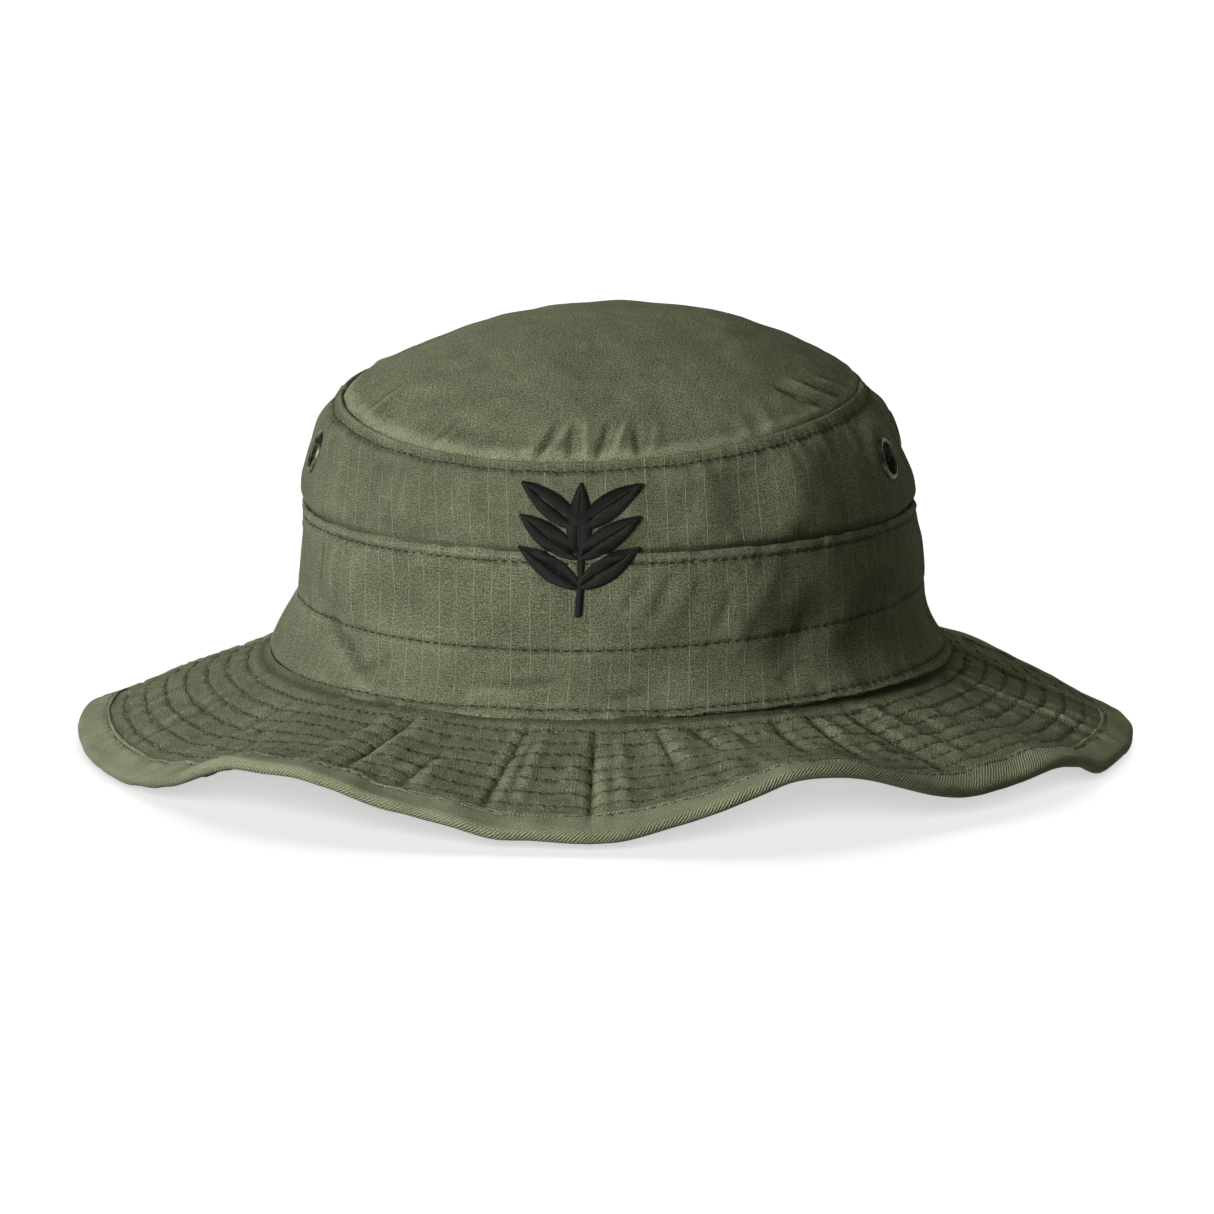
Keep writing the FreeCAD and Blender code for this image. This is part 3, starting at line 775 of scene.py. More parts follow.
def wire_finish():
    """Painted black steel wire of the vent screens."""
    finish = Finish("black_wire", Metallic=0.3, Roughness=0.5)
    chips = finish.solid_noise(1500.0, 3.0, 0.6)
    finish.colour(finish.eased(chips, 0.4, 0.8), (0.008,) * 3, (0.014,) * 3, (0.05, 0.05, 0.045))
    finish.rough(finish.eased(chips, 0.3, 0.7, 0.4, 0.6))
    finish.bump(chips, 0.00004, 0.5)
    return finish.material


WALL_CLOTH = ripstop_finish("olive_ripstop", 0.75, -0.015)
TOP_CLOTH = ripstop_finish("olive_ripstop_top", 0.16, 0.0)
# The brim's cloth is the same ripstop painted darker (tone shift -0.09): painted shade for the light that
# its folds and puckers lose.
SHADED_BRIM_CLOTH = ripstop_finish("olive_ripstop_brim_shaded", 0.12, -0.09, 0.36)
TAPE = tape_finish()
TWILL = twill_finish()
CORE = core_finish()
# The olive thread is painted near black: partly its own dark colour, partly painted shade of the grooves
# that the stitches sit in. Its light shade is a painted highlight, for patches where the thread catches the
# light.
SHADED_OLIVE_THREAD = [(0.014, 0.015, 0.009), (0.03, 0.032, 0.02)]
QUILTING_THREAD = thread_finish("olive_quilting_thread", *SHADED_OLIVE_THREAD, (0.3, 0.31, 0.22), 0.65, 0.05)
THREAD = thread_finish("olive_thread", *SHADED_OLIVE_THREAD, (0.12, 0.125, 0.09), 0.7, 0.05)
BLACK_THREAD = [(0.001, 0.001, 0.001), (0.003, 0.003, 0.0025), (0.012, 0.012, 0.01)]
SATIN = thread_finish("black_satin_thread", *BLACK_THREAD, 0.6, 0.0)
BRASS = brass_finish()
WIRE = wire_finish()


# ---------------------------------------------------------------- crown walls
SIDE_SEAMS = (-90.0, 90.0, 270.0)
crown_angles = np.linspace(SIDE_SEAMS[0], SIDE_SEAMS[2], CROWN_COLUMNS + 1)[None, :]
crown_turns = (crown_angles - SIDE_SEAMS[0]) / 360.0
crown_sine, crown_cosine = circle(crown_angles)
crown_arc = np.radians(crown_angles) * PANEL_RADIUS
crown_phase = sewn_phase(crown_arc - crown_arc[:, :1])


def top_level(angles):
    """Height of the top seam, lower in front than behind."""
    toward_front = np.cos(np.radians(angles + 10.0))
    return 94.3 - 5.6 * toward_front - 3.5 * toward_front**2


def crown_ring(half, shift, level):
    """Points of one ring of the crown: an ellipse of this half width and depth, shifted to the right."""
    x = half[0] * crown_sine + shift
    y = -half[1] * crown_cosine
    return np.stack(np.broadcast_arrays(x, y, level), axis=-1)[0]


# top seam, fold of the lower band, stitched line, brim seam
CROWN_RINGS = [
    crown_ring(TOP_HALF - 1.0, -1.6, top_level(crown_angles)),
    crown_ring(FOLD_HALF - 1.0, 0.6, FOLD_LEVEL - 0.2),
    crown_ring(STITCH_HALF - 0.9, 1.0, 40.3 + 2.0 * crown_sine**2 + 1.7 * crown_sine),
    crown_ring(BAND_HIGH[:2], 0.7, BAND_LOW[2] + 0.2 + 1.2 * crown_sine),
]
CROWN_OUTWARD = unit(crown_ring((93.0, 84.0), 0.0, 0.0))
LOWEST_BULGE = 4.2 * bell(turn_from(crown_angles, -102.0), 26.0)[0, :, None] - 2.4


def wall_sheet(rows):
    """Grid of a crown wall without its cloth detail.

    A row is (share, outward, upward), and a share counts rings down from the top seam, 0 to 3.
    """
    points = []
    for share, out, rise in rows:
        number = min(int(share), 2)
        part = share - number
        between = CROWN_RINGS[number] * (1.0 - part) + CROWN_RINGS[number + 1] * part
        bulge = (
            2.8 * (1.0 - (2.0 * part - 1.0) ** 4),
            0.5 * math.sin(math.pi * part),
            LOWEST_BULGE * math.sin(math.pi * part),
        )[number]
        points.append(between + CROWN_OUTWARD * bulge + CROWN_OUTWARD * out + (0.0, 0.0, rise))
    return np.stack(points)


def roll_rows(share, radius, steps, start, end, out, rise):
    """Rows of a rolled edge, from one angle to another, measured from inward over the top."""
    rows = []
    for step in range(steps):
        angle = math.radians(start + (end - start) * step / (steps - 1))
        rows.append((share, out - radius * math.cos(angle), rise + radius * math.sin(angle)))
    return rows


# side panel: rolled top edge, wall, then down behind the lower band
panel_rows = [(0.06, -1.9, 0.2), (0.03, -1.7, 0.4)]
panel_rows += roll_rows(0.0, 0.5, 7, 0.0, 150.0, -0.5, 0.3)
wall_count = int(PANEL_LENGTH / ROW_STEP)
for step in range(1, wall_count + 10):
    share = 0.035 + step / wall_count * 0.965
    tuck = -1.3 * float(smoothstep(4.0, 0.0, (1.0 - share) * PANEL_LENGTH))
    panel_rows.append((share, tuck, 0.0))
panel_base = wall_sheet(panel_rows)
panel_down = np.array([row[0] for row in panel_rows])[:, None] * PANEL_LENGTH
above_fold = PANEL_LENGTH - panel_down
calm = smoothstep(0.0, 9.0, above_fold) * smoothstep(0.5, 8.0, panel_down)
panel_seam_pucker = ripples(crown_turns, panel_down, (0.34, 150, 9.0, 0, 11))
panel_fold_pucker = ripples(crown_turns, panel_down, (0.3, 120, 7.0, 0, 14))
panel_height = (
    0.4 * bell(panel_down - 0.7, 0.8)
    - bell(panel_down - TOP_STITCH, 0.6) * (0.22 + 0.3 * stitch_ripple(crown_phase))
    + panel_seam_pucker * bell(panel_down - 2.5, 6.0) * smoothstep(0.6, 2.0, panel_down)
    + ripples(crown_turns, panel_down, (0.3, 60, 9.0, 7, 12), (0.9, 26, 15.0, 0, 13)) * calm
    + panel_fold_pucker * bell(above_fold - 5.0, 4.0)
    + folds(crown_angles, panel_base[..., 2], PANEL_RADIUS, PANEL_FOLDS) * (0.2 + 0.8 * calm)
    + seam_relief(crown_angles, SIDE_SEAMS, 80.0, (0.45, 1.3, 0.9), (0.7, 0.45))
)
panel_grid = displaced(panel_base, panel_height)[0]

# The middle and the outward axis of each vent, on the panel's outer face.
vent_places = []
for vent in VENTS:
    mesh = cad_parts["vent_eyelet_" + vent].data
    points = np.array([vertex.co for vertex in mesh.vertices]) / MM
    low, high = node_box("vent_eyelet_" + vent)
    centre = (low + high) / 2.0
    spread = np.linalg.svd(points - points.mean(axis=0), full_matrices=False)[2]
    reach = [np.ptp((points - centre) @ direction) for direction in spread]
    axis = spread[int(np.argmin(reach))]
    axis = axis * np.sign(axis[0] * centre[0])
    along = (points - centre) @ axis
    vent_places.append((vent, centre + axis * (along.max() - EYELET_PROUD), axis))

# The cloth lies flat under each vent, and has a hole there.
keep_cloth = np.ones((len(panel_rows) - 1, CROWN_COLUMNS), bool)
for vent, seat, axis in vent_places:
    offset = panel_grid - seat
    depth = offset @ axis
    radial = np.linalg.norm(offset - depth[..., None] * axis, axis=-1)
    near = np.abs(depth) < VENT_REACH
    flatten = smoothstep(VENT_FLAT[1], VENT_FLAT[0], radial) * near
    panel_grid = panel_grid - axis * (depth * flatten)[..., None]
    middle = (radial[:-1, :-1] + radial[1:, 1:]) / 2.0
    keep_cloth &= ~((middle < VENT_HOLE) & near[:-1, :-1])
panel_normals = turn_normals(panel_grid)

# lower band: turned-in top edge, wall, then a rolled hem that curls over the brim seam
band_rows = [(1.22, -0.85, 0.0), (1.1, -0.85, 0.0), (1.03, -0.85, 0.0)]
band_rows += roll_rows(1.0, 0.55, 9, 0.0, 180.0, -0.3, 0.1)
upper_count = int(BAND_UPPER_LENGTH / ROW_STEP)
lower_count = int(BAND_LOWER_LENGTH / ROW_STEP)
band_rows += [(1.0 + step / upper_count, 0.25, 0.0) for step in range(1, upper_count)]
band_rows += [(2.0 + step / lower_count, 0.25, 0.0) for step in range(lower_count)]
band_rows += roll_rows(3.0, 0.32, 7, 180.0, 340.0, -0.1, 0.1)
BAND_TURNED_IN = 7
band_base = wall_sheet(band_rows)
share = np.array([row[0] for row in band_rows])[:, None]
band_down = np.where(
    share < 2.0,
    (share - 1.0) * BAND_UPPER_LENGTH,
    BAND_UPPER_LENGTH + (share - 2.0) * BAND_LOWER_LENGTH,
)
below_fold = smoothstep(0.0, 8.0, band_down)
band_height = 0.3 * bell(band_down - 0.7, 0.8)
for place, depth, seed in ((FOLD_STITCH, 0.2, 21), (MIDDLE_STITCH, 0.2, 22), (HEM_STITCH, 0.25, 23)):
    pucker = ripples(crown_turns, band_down, (0.26, 140, 8.0, 0, seed))
    dip = bell(band_down - place, 0.6) * (depth + 0.3 * stitch_ripple(crown_phase))
    band_height = band_height - dip + pucker * bell(band_down - place, 4.5)
band_height = (
    band_height
    + ripples(crown_turns, band_down, (0.25, 70, 8.0, 9, 24))
    + ripples(crown_turns, band_down, (0.8, 28, 13.0, 0, 25)) * below_fold
    + folds(crown_angles, band_base[..., 2], BAND_RADIUS, BAND_FOLDS) * (0.2 + 0.8 * below_fold)
    + seam_relief(crown_angles, SIDE_SEAMS, 84.0, (0.5, 1.4, 0.9), (0.75, 0.45))
)
band_height[:BAND_TURNED_IN] *= 0.3
band_grid, band_normals = displaced(band_base, band_height)


def grain_maps(base, centre, offset):
    """Places on the flat cloth, whose grain runs straight down the middle of each half."""
    radius = np.linalg.norm(base[..., :2], axis=-1).mean(axis=1)[:, None]
    return flat_maps(np.radians(crown_angles - centre) * radius, travelled(base) + offset)


MIDDLE_COLUMN = CROWN_COLUMNS // 2
for side, centre, columns in (
    ("front", 0.0, slice(0, MIDDLE_COLUMN + 1)),
    ("back", 180.0, slice(MIDDLE_COLUMN, CROWN_COLUMNS + 1)),
):
    cloth_piece(
        "side_panel_cloth_" + side,
        panel_grid,
        WALL_THICKNESS,
        WALL_CLOTH,
        "ripstop_cloth",
        ["side_panel_" + side],
        grain_maps(panel_base, centre, 40.0),
        relief_of(panel_height),
        columns,
        lining_step=2,
        fine_rows=14,
        keep=keep_cloth,
    )
    cloth_piece(
        "lower_band_cloth_" + side,
        band_grid,
        WALL_THICKNESS,
        WALL_CLOTH,
        "ripstop_cloth",
        ["lower_band_" + side],
        grain_maps(band_base, centre, 3.0),
        relief_of(band_height),
        columns,
        lining_step=4,
        fine_rows=14,
    )

# stitches of the crown, each line on the row of cloth nearest to it
TURNED_EDGE_ROWS = 6
panel_cloth = (panel_grid, panel_normals, panel_down)
band_cloth = (band_grid, band_normals, band_down)
CROWN_STITCHES = [
    ("top_seam_stitches", panel_cloth, TOP_STITCH, "top_seam_thread"),
    ("band_seam_stitches", band_cloth, FOLD_STITCH, "band_seam_thread"),
    ("sweatband_stitches", band_cloth, MIDDLE_STITCH, "sweatband_thread"),
    ("brim_seam_stitches", band_cloth, HEM_STITCH, "brim_seam_thread"),
]
for seed, (name, (grid, normals, down), place, node) in enumerate(CROWN_STITCHES, start=31):
    away = np.abs(down[TURNED_EDGE_ROWS:, 0] - place)
    row = TURNED_EDGE_ROWS + int(np.argmin(away))
    stitch_piece(name, [(grid[row], normals[row], crown_phase[0])], [node], THREAD, seed)

# sweatband: a folded strip of twill inside the opening
sweat_rows = [(3.0, -3.2, 0.4), (2.6, -3.1, 0.0), (2.2, -2.9, 0.0)]
sweat_rows += roll_rows(2.02, 0.65, 7, 180.0, 0.0, -3.2, 0.0)
sweat_count = int(BAND_LOWER_LENGTH / 0.9)
sweat_rows += [(2.02 + 0.96 * step / sweat_count, -3.85, 0.0) for step in range(1, sweat_count)]
sweat_rows += roll_rows(3.0, 0.6, 5, 0.0, -150.0, -3.3, 0.6)
sweat_base = wall_sheet(sweat_rows)
sweat_down = np.array([(row[0] - 2.0) * BAND_LOWER_LENGTH for row in sweat_rows])[:, None]
sweat_height = ripples(crown_turns, sweat_down, (0.25, 90, 9.0, 0, 41))
sweat_height = sweat_height + 0.3 * bell(sweat_down - 2.5, 0.8) * stitch_ripple(crown_phase)
cloth_piece(
    "sweatband_cloth_ring",
    displaced(sweat_base, sweat_height)[0],
    SWEATBAND_THICKNESS,
    TWILL,
    "sweatband_cloth",
    ["sweatband"],
    flat_maps(crown_arc, travelled(sweat_base)),
    relief_of(sweat_height),
    slice(0, -1),
    ring=True,
)

# ---------------------------------------------------------------- crown top
DOME_COLUMNS = 720
DOME_ROWS = 118
DOME_EDGE_GAP = 0.7
dome_angles = (np.arange(DOME_COLUMNS) * 360.0 / DOME_COLUMNS - 90.0)[None, :]
dome_turns = (dome_angles + 90.0) / 360.0
dome_share = np.linspace(0.004, 1.0, DOME_ROWS)[:, None]
dome_sine, dome_cosine = circle(dome_angles)
dome_radius = np.sqrt((TOP_HALF[0] * dome_sine) ** 2 + (TOP_HALF[1] * dome_cosine) ** 2)
dome_edge = (1.0 - dome_share) * dome_radius
sphere = (TOP_HALF[0] ** 2 + DOME_RISE**2) / (2.0 * DOME_RISE)
cap = np.sqrt(sphere**2 - (dome_share * TOP_HALF[0]) ** 2) - (sphere - DOME_RISE)
edge_share = dome_share**2
dome_level = top_level(dome_angles) * edge_share + (CROWN_TIP[2] - DOME_RISE) * (1.0 - edge_share) + cap
# The top leans to the right, so its middle is shifted and its edge sits on the panel's rolled edge.
dome_shift = -1.6 + 4.4 * (1.0 - dome_share**4)
dome_base = np.stack(
    [
        (TOP_HALF[0] - DOME_EDGE_GAP) * dome_share * dome_sine + dome_shift,
        -(TOP_HALF[1] - DOME_EDGE_GAP) * dome_share * dome_cosine,
        dome_level + 0.4 * (1.0 - edge_share),
    ],
    axis=-1,
)
flat_x = dome_share * dome_radius * dome_sine
flat_y = -dome_share * dome_radius * dome_cosine
dome_pucker = ripples(dome_turns, dome_edge, (0.42, 110, 10.0, 0, 51))
dome_height = (
    -1.3 * bell(dome_edge, 1.3)
    + 0.3 * bell(dome_edge - 3.4, 1.6)
    + dome_pucker * bell(dome_edge, 9.0) * smoothstep(1.2, 3.6, dome_edge)
    + 0.5 * noise((flat_x + 90.0) / 13.0, (flat_y + 90.0) / 16.0, NOISE_ROWS, 52)
    + 0.25 * noise((flat_x + flat_y + 180.0) / 7.0, (flat_y - flat_x + 180.0) / 9.0, NOISE_ROWS, 53)
    + folds(dome_angles, dome_edge, dome_radius, DOME_FOLDS) * smoothstep(0.8, 3.0, dome_edge)
)
cloth_piece(
    "crown_top_cloth",
    dome_base + normals_of(dome_base, True) * dome_height[..., None],
    WALL_THICKNESS,
    TOP_CLOTH,
    "ripstop_cloth",
    ["crown_top"],
    flat_maps(flat_x, flat_y),
    relief_of(dome_height),
    ring=True,
    lining_step=10,
    closed_centre=True,
)

# ---------------------------------------------------------------- vents
# radius, height over the cloth
EYELET_PROFILE = [
    (4.55, -2.4),
    (4.55, 0.3),
    (4.6, 0.6),
    (4.75, 0.82),
    (5.0, 0.92),
    (5.3, 0.86),
    (5.58, 0.64),
    (5.78, 0.34),
    (5.86, 0.08),
    (5.78, -0.08),
    (5.4, -0.1),
    (4.95, -0.1),
    (4.85, -0.5),
    (4.85, -2.4),
]
EYELET_SIDES = 56
SCREEN_PITCH = 1.1
SCREEN_RADIUS = 4.7
SCREEN_DEPTH = 1.3
WIRE_RADIUS = 0.14


def sideways(axis):
    """Two directions across an axis."""
    side = unit(np.cross(axis, [0.0, 0.0, 1.0]))
    return side, np.cross(axis, side)


def eyelet_mesh(seat, axis):
    """The eyelet's profile turned round its axis."""
    side, other = sideways(axis)
    around = (np.arange(EYELET_SIDES) * FULL_TURN / EYELET_SIDES)[:, None]
    spokes = np.cos(around) * side + np.sin(around) * other
    rings = np.stack([seat + spokes * radius + axis * height for radius, height in EYELET_PROFILE])
    faces = grid_faces(0, len(rings), EYELET_SIDES, True, False)
    last = (len(rings) - 1) * EYELET_SIDES
    faces += rim_faces(list(range(EYELET_SIDES)), list(range(last, last + EYELET_SIDES)), True)
    return rings.reshape(-1, 3), faces


def woven_screen(seat, axis):
    """Wires of a plain woven disc, each passing over and under those that cross it."""
    side, other = sideways(axis)
    middle = seat - axis * SCREEN_DEPTH
    parts = []
    for along, across, phase in ((side, other, 0.0), (other, side, 1.0)):
        for number in range(-4, 5):
            offset = number * SCREEN_PITCH
            half = math.sqrt(SCREEN_RADIUS**2 - offset**2)
            places = np.linspace(-half, half, 41)
            wave = 0.13 * np.cos(math.pi * (places / SCREEN_PITCH + number + phase))
            line = middle + along * places[:, None] + across * offset + axis * wave[:, None]
            parts.append(tube_mesh(line, WIRE_RADIUS, axis))
    return join_meshes(parts)


for vent, seat, axis in vent_places:
    rim = eyelet_mesh(seat, axis)
    make_piece("eyelet_" + vent, *rim, BRASS, "blackened_brass", ["vent_eyelet_" + vent], sharp=50.0)
    wires = woven_screen(seat, axis)
    make_piece("screen_" + vent, *wires, WIRE, "screen_wire", ["vent_screen_" + vent], sharp=60.0)
    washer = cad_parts["vent_washer_" + vent]
    washer.data.materials.clear()
    washer.data.materials.append(BRASS)


# ---------------------------------------------------------------- embroidered sprig
FRONT_REACH = 60
SMOOTHING = np.exp(-np.linspace(-2.0, 2.0, 13) ** 2)
SMOOTHING = SMOOTHING / SMOOTHING.sum()
front_levels = np.arange(44.0, 88.0, 0.25)


def front_column(column):
    """Outer profile of one column of the front wall: a smoothed (x, y) for each front level."""
    high = panel_grid[9:, column]
    high = high[high[:, 2] > FOLD_LEVEL + 0.4]
    line = np.concatenate([high, band_grid[10 : len(band_rows) - 12, column]])
    line = line[np.argsort(line[:, 2])]
    depth = np.interp(front_levels, line[:, 2], line[:, 1])
    across = np.interp(front_levels, line[:, 2], line[:, 0])
    padded = np.pad(depth, len(SMOOTHING) // 2, mode="edge")
    return np.stack([across, np.convolve(padded, SMOOTHING, mode="valid")], axis=1)


front_middle = CROWN_COLUMNS // 4
front_columns = range(front_middle - FRONT_REACH, front_middle + FRONT_REACH + 1)
front_profile = np.array([front_column(column) for column in front_columns])
front_across = front_profile[:, :, 0].mean(axis=1)


def on_front(across, level, proud):
    """Points on the front of the crown, some distance to the right of its middle and proud of the cloth."""
    column = np.interp(across, front_across, np.arange(len(front_across)))
    row = np.interp(level, front_levels, np.arange(len(front_levels)))
    left = np.clip(np.floor(column).astype(int), 0, len(front_across) - 2)
    low = np.clip(np.floor(row).astype(int), 0, len(front_levels) - 2)

    def corner(right, above):
        return front_profile[left + right, low + above, 1]

    depth = between_corners(corner, column - left, row - low)
    return np.stack([across, depth - proud, level], axis=1)


def strand(start, end, swell):
    """One satin thread between two points of the motif."""
    share = np.linspace(0.0, 1.0, 7)
    across = start[0] + (end[0] - start[0]) * share
    level = start[1] + (end[1] - start[1]) * share
    from_middle = 2.0 * share - 1.0
    proud = 0.12 + swell * np.sqrt(np.clip(1.0 - from_middle**2, 0.0, 1.0))
    radius = 0.33 * np.sqrt(np.clip(1.0 - 0.75 * from_middle**8, 0.0, 1.0))
    return tube_mesh(on_front(across, level, proud), radius, (0.0, -1.0, 0.0), 0.8)


STRAND_PITCH = 0.55


def satin_leaf(base, angle, length, width):
    """A pointed leaf in two halves of satin threads that slant away from its midrib."""
    turn = math.radians(angle)
    along = np.array([math.sin(turn), math.cos(turn)])
    side = np.array([math.cos(turn), -math.sin(turn)])
    strands = []
    count = int(length / STRAND_PITCH)
    for hand in (-1.0, 1.0):
        for number in range(count):
            inner = length * number / count
            outer = min(inner + 2.2, length * 0.995)
            half = width / 2.0 * math.sin(math.pi * (outer / length) ** 0.85) ** 0.8
            start = base + along * inner + side * hand * 0.08
            end = base + along * outer + side * hand * max(half, 0.15)
            strands.append(strand(start, end, 0.5))
    return strands


def satin_stem(bottom, top, width):
    """A narrow column of short slanting threads."""
    strands = []
    for level in np.arange(bottom, top, STRAND_PITCH):
        bend = 0.5 * math.sin((level - bottom) * 0.11)
        strands.append(strand((bend - width / 2.0, level), (bend + width / 2.0, level + 0.9), 0.42))
    return strands


MOTIF_BASE = node_box("front_embroidery")[0][2]
sprig = satin_stem(MOTIF_BASE, MOTIF_BASE + 26.0, 1.8)
for row in range(3):
    for hand in (-1.0, 1.0):
        sprig += satin_leaf(np.array([0.0, MOTIF_BASE + 7.5 + 7.6 * row]), hand * 57.0, 18.5, 6.4)
sprig += satin_leaf(np.array([0.0, MOTIF_BASE + 15.5]), 0.0, 17.5, 6.6)
sprig_nodes = ["front_embroidery"]
make_piece("embroidered_sprig", *join_meshes(sprig), SATIN, "embroidery_thread", sprig_nodes, sharp=60.0)

# ---------------------------------------------------------------- brim
BRIM_SEAMS = (-BRIM_SEAM_TURN, BRIM_SEAM_TURN, 360.0 - BRIM_SEAM_TURN)
brim_angles = np.linspace(BRIM_SEAMS[0], BRIM_SEAMS[2], BRIM_COLUMNS + 1)[None, :]
brim_turns = (brim_angles + BRIM_SEAM_TURN) / 360.0
brim_sine, brim_cosine = circle(brim_angles)

# how far the edge of the brim rises above its level
edge_lift = np.zeros(brim_angles.shape)
for azimuth, rise, before, after in WAVES:
    away = turn_from(brim_angles, azimuth)
    edge_lift += rise * np.exp(-((away / np.where(away < 0.0, before, after)) ** 2) / 2.0)


def brim_middle(distances):
    """Middle surface of the brim, rows outward from the seam."""
    fall = BRIM_ROOT_LEVEL - BRIM_EDGE_LEVEL
    run = np.sqrt(BRIM_SLANT**2 - (fall - edge_lift) ** 2)
    share = distances / BRIM_SLANT
    level = BRIM_ROOT_LEVEL - fall * share + edge_lift * np.clip(share, 0.0, None) ** LIFT_POWER
    x = BAND_HIGH[0] * brim_sine + brim_sine * run * share * (1.0 + 0.028 * brim_sine**2)
    y = -(BAND_HIGH[1] * brim_cosine + brim_cosine * run * share)
    return np.stack([x, y, level], axis=-1)


def brim_shape(distances):
    """Middle surface with the folds and soft waves that every layer shares, its normals and their height."""
    base = brim_middle(distances)
    radius = BRIM_RADIUS + distances * 0.9
    broad = ripples(brim_turns, distances, (0.6, 34, 18.0, 0, 61))
    narrow = ripples(brim_turns, distances, (0.5, 84, 15.0, 0, 62))
    radial = ripples(brim_turns, distances, (0.4, 170, 13.0, 11, 63))
    height = (
        folds(brim_angles, distances, radius, BRIM_FOLDS) * smoothstep(0.0, 4.0, distances)
        + broad * smoothstep(0.0, 8.0, distances)
        + narrow * smoothstep(0.0, 6.0, distances)
        + radial * smoothstep(0.0, 5.0, distances) * smoothstep(52.0, 42.0, distances)
    )
    shaped = displaced(base, height)[0]
    return shaped, turn_normals(shaped), height


def arc_lengths(distance):
    """Length travelled round the brim at one distance from the seam."""
    line = brim_middle(np.array([[distance]]))[0]
    steps = np.linalg.norm(np.diff(line, axis=0), axis=1)
    return np.concatenate([[0.0], np.cumsum(steps)])[None, :]


def quilted(distances, seed):
    """Height of the cloth between and at the quilting rows, with small puckers across each row."""
    height = 0.28 * np.exp(-((distances - 20.0) / 22.0) ** 2)
    for number, place in enumerate(QUILTING):
        away = distances - place
        dip = bell(away, 0.55) * (0.22 + 0.55 * stitch_ripple(sewn_phase(arc_lengths(place))))
        cells = 210 + 9 * number
        pucker = noise(brim_turns * cells, away / 3.6 + number * 5.0, cells, seed + number)
        height = height - dip + 0.38 * pucker * bell(away, 2.6)
    groove = 0.6 * smoothstep(1.0, 5.0, distances)
    radius = BRIM_RADIUS + 0.95 * distances
    height = height + seam_relief(brim_angles, BRIM_SEAMS, radius, (0.75, 2.5, 1.1), (groove, 0.7))
    return np.maximum(height, LOWEST_CLOTH)


BRIM_SPLIT = round(2.0 * BRIM_SEAM_TURN / 360.0 * BRIM_COLUMNS)
BRIM_HALVES = [("front", 0, BRIM_SPLIT + 1), ("back", BRIM_SPLIT, BRIM_COLUMNS + 1)]
brim_steps = np.arange(*BRIM_CLOTH_REACH, ROW_STEP)[:, None]
shape_points, shape_normals, shape_height = brim_shape(brim_steps)
root_rise = 0.5 * smoothstep(1.0, -2.2, brim_steps)
# Painted shade along the brim's root, where the band's hem shades the cloth below it.
hem_painted_shade = bell(brim_steps - 0.2, 1.2)
flat_radius = BRIM_RADIUS + brim_steps
brim_maps = flat_maps(flat_radius * brim_sine, flat_radius * brim_cosine)
for layer, sign, root_share, seed in (("upper", 1, 1.0, 70), ("lower", -1, 0.4, 90)):
    height = quilted(brim_steps, seed)
    lift = CLOTH_HEIGHT + height + root_share * root_rise
    grid = shape_points + shape_normals * (sign * lift)[..., None]
    for side, first, last in BRIM_HALVES:
        cloth_piece(
            f"brim_{layer}_cloth_{side}",
            grid,
            BRIM_THICKNESS,
            SHADED_BRIM_CLOTH,
            "ripstop_cloth",
            [f"brim_{layer}_{side}"],
            brim_maps,
            relief_of(height + sign * shape_height) - hem_painted_shade,
            np.arange(first, last)[::sign],
            lining_step=12,
        )
    lines = []
    for place in QUILTING:
        row = int(np.argmin(np.abs(brim_steps[:, 0] - place)))
        lines.append((grid[row], shape_normals[row] * sign, sewn_phase(arc_lengths(place))[0]))
    nodes = ["brim_quilting_threads"]
    stitch_piece("quilting_stitches_" + layer, lines, nodes, QUILTING_THREAD, seed)

core_steps = np.linspace(0.5, 50.5, 26)[:, None]
core_points, core_normals, core_height = brim_shape(core_steps)
for side, first, last in BRIM_HALVES:
    cloth_piece(
        "brim_core_" + side,
        core_points + core_normals * CORE_THICKNESS / 2.0,
        CORE_THICKNESS,
        CORE,
        "brim_core",
        ["brim_interlining_" + side],
        np.zeros(core_points.shape[:2] + (2,)),
        core_height,
        slice(first, last, 4),
        lining_step=3,
    )

# Binding tape: turned-in edge, face, round the brim's edge, and the same below. A place on its
# path is (distance from the seam, height over the brim's middle surface).
tape_half = [(44.6, 1.1), (43.4, 1.1), (42.9, 1.2), (42.7, 1.42), (42.85, 1.68), (43.2, 1.82)]
tape_half += [(43.6, 1.74), (44.0, 1.5), (44.4, 1.56)]
TAPE_STITCH_ROW = 7
tape_half += [(place, 1.68) for place in np.arange(45.0, 50.9, 0.6)]
tape_half += [(51.4, 1.58), (51.9, 1.28), (52.25, 0.85), (52.42, 0.42)]
tape_path = tape_half + [(52.48, 0.0)] + [(place, -height) for place, height in reversed(tape_half)]
tape_path = np.array(tape_path)
tape_steps = np.linalg.norm(np.diff(tape_path, axis=0), axis=1)
tape_steps = np.concatenate([[0.0], np.cumsum(tape_steps)])[:, None]

# The brim's shape at even distances, and between them for each place on the tape's path.
EVEN_STEP = 0.5
even_distances = np.arange(38.0, 53.1, EVEN_STEP)
position = (tape_path[:, 0] - even_distances[0]) / EVEN_STEP
before = position.astype(int)
share = (position - before)[:, None, None]
tape_points, tape_normals = [
    even[before] * (1 - share) + even[before + 1] * share for even in brim_shape(even_distances[:, None])[:2]
]
from_stitch = np.abs(tape_path[:, :1] - BINDING_STITCH)
binding_phase = sewn_phase(arc_lengths(BINDING_STITCH))
tape_height = (
    ripples(brim_turns, tape_steps, (0.2, 330, 6.0, 0, 65)) * bell(from_stitch, 3.2)
    - 0.25 * bell(from_stitch, 0.6) * stitch_ripple(binding_phase)
    + ripples(brim_turns, tape_steps, (0.12, 150, 5.0, 0, 66), (0.2, 60, 8.0, 0, 67))
)
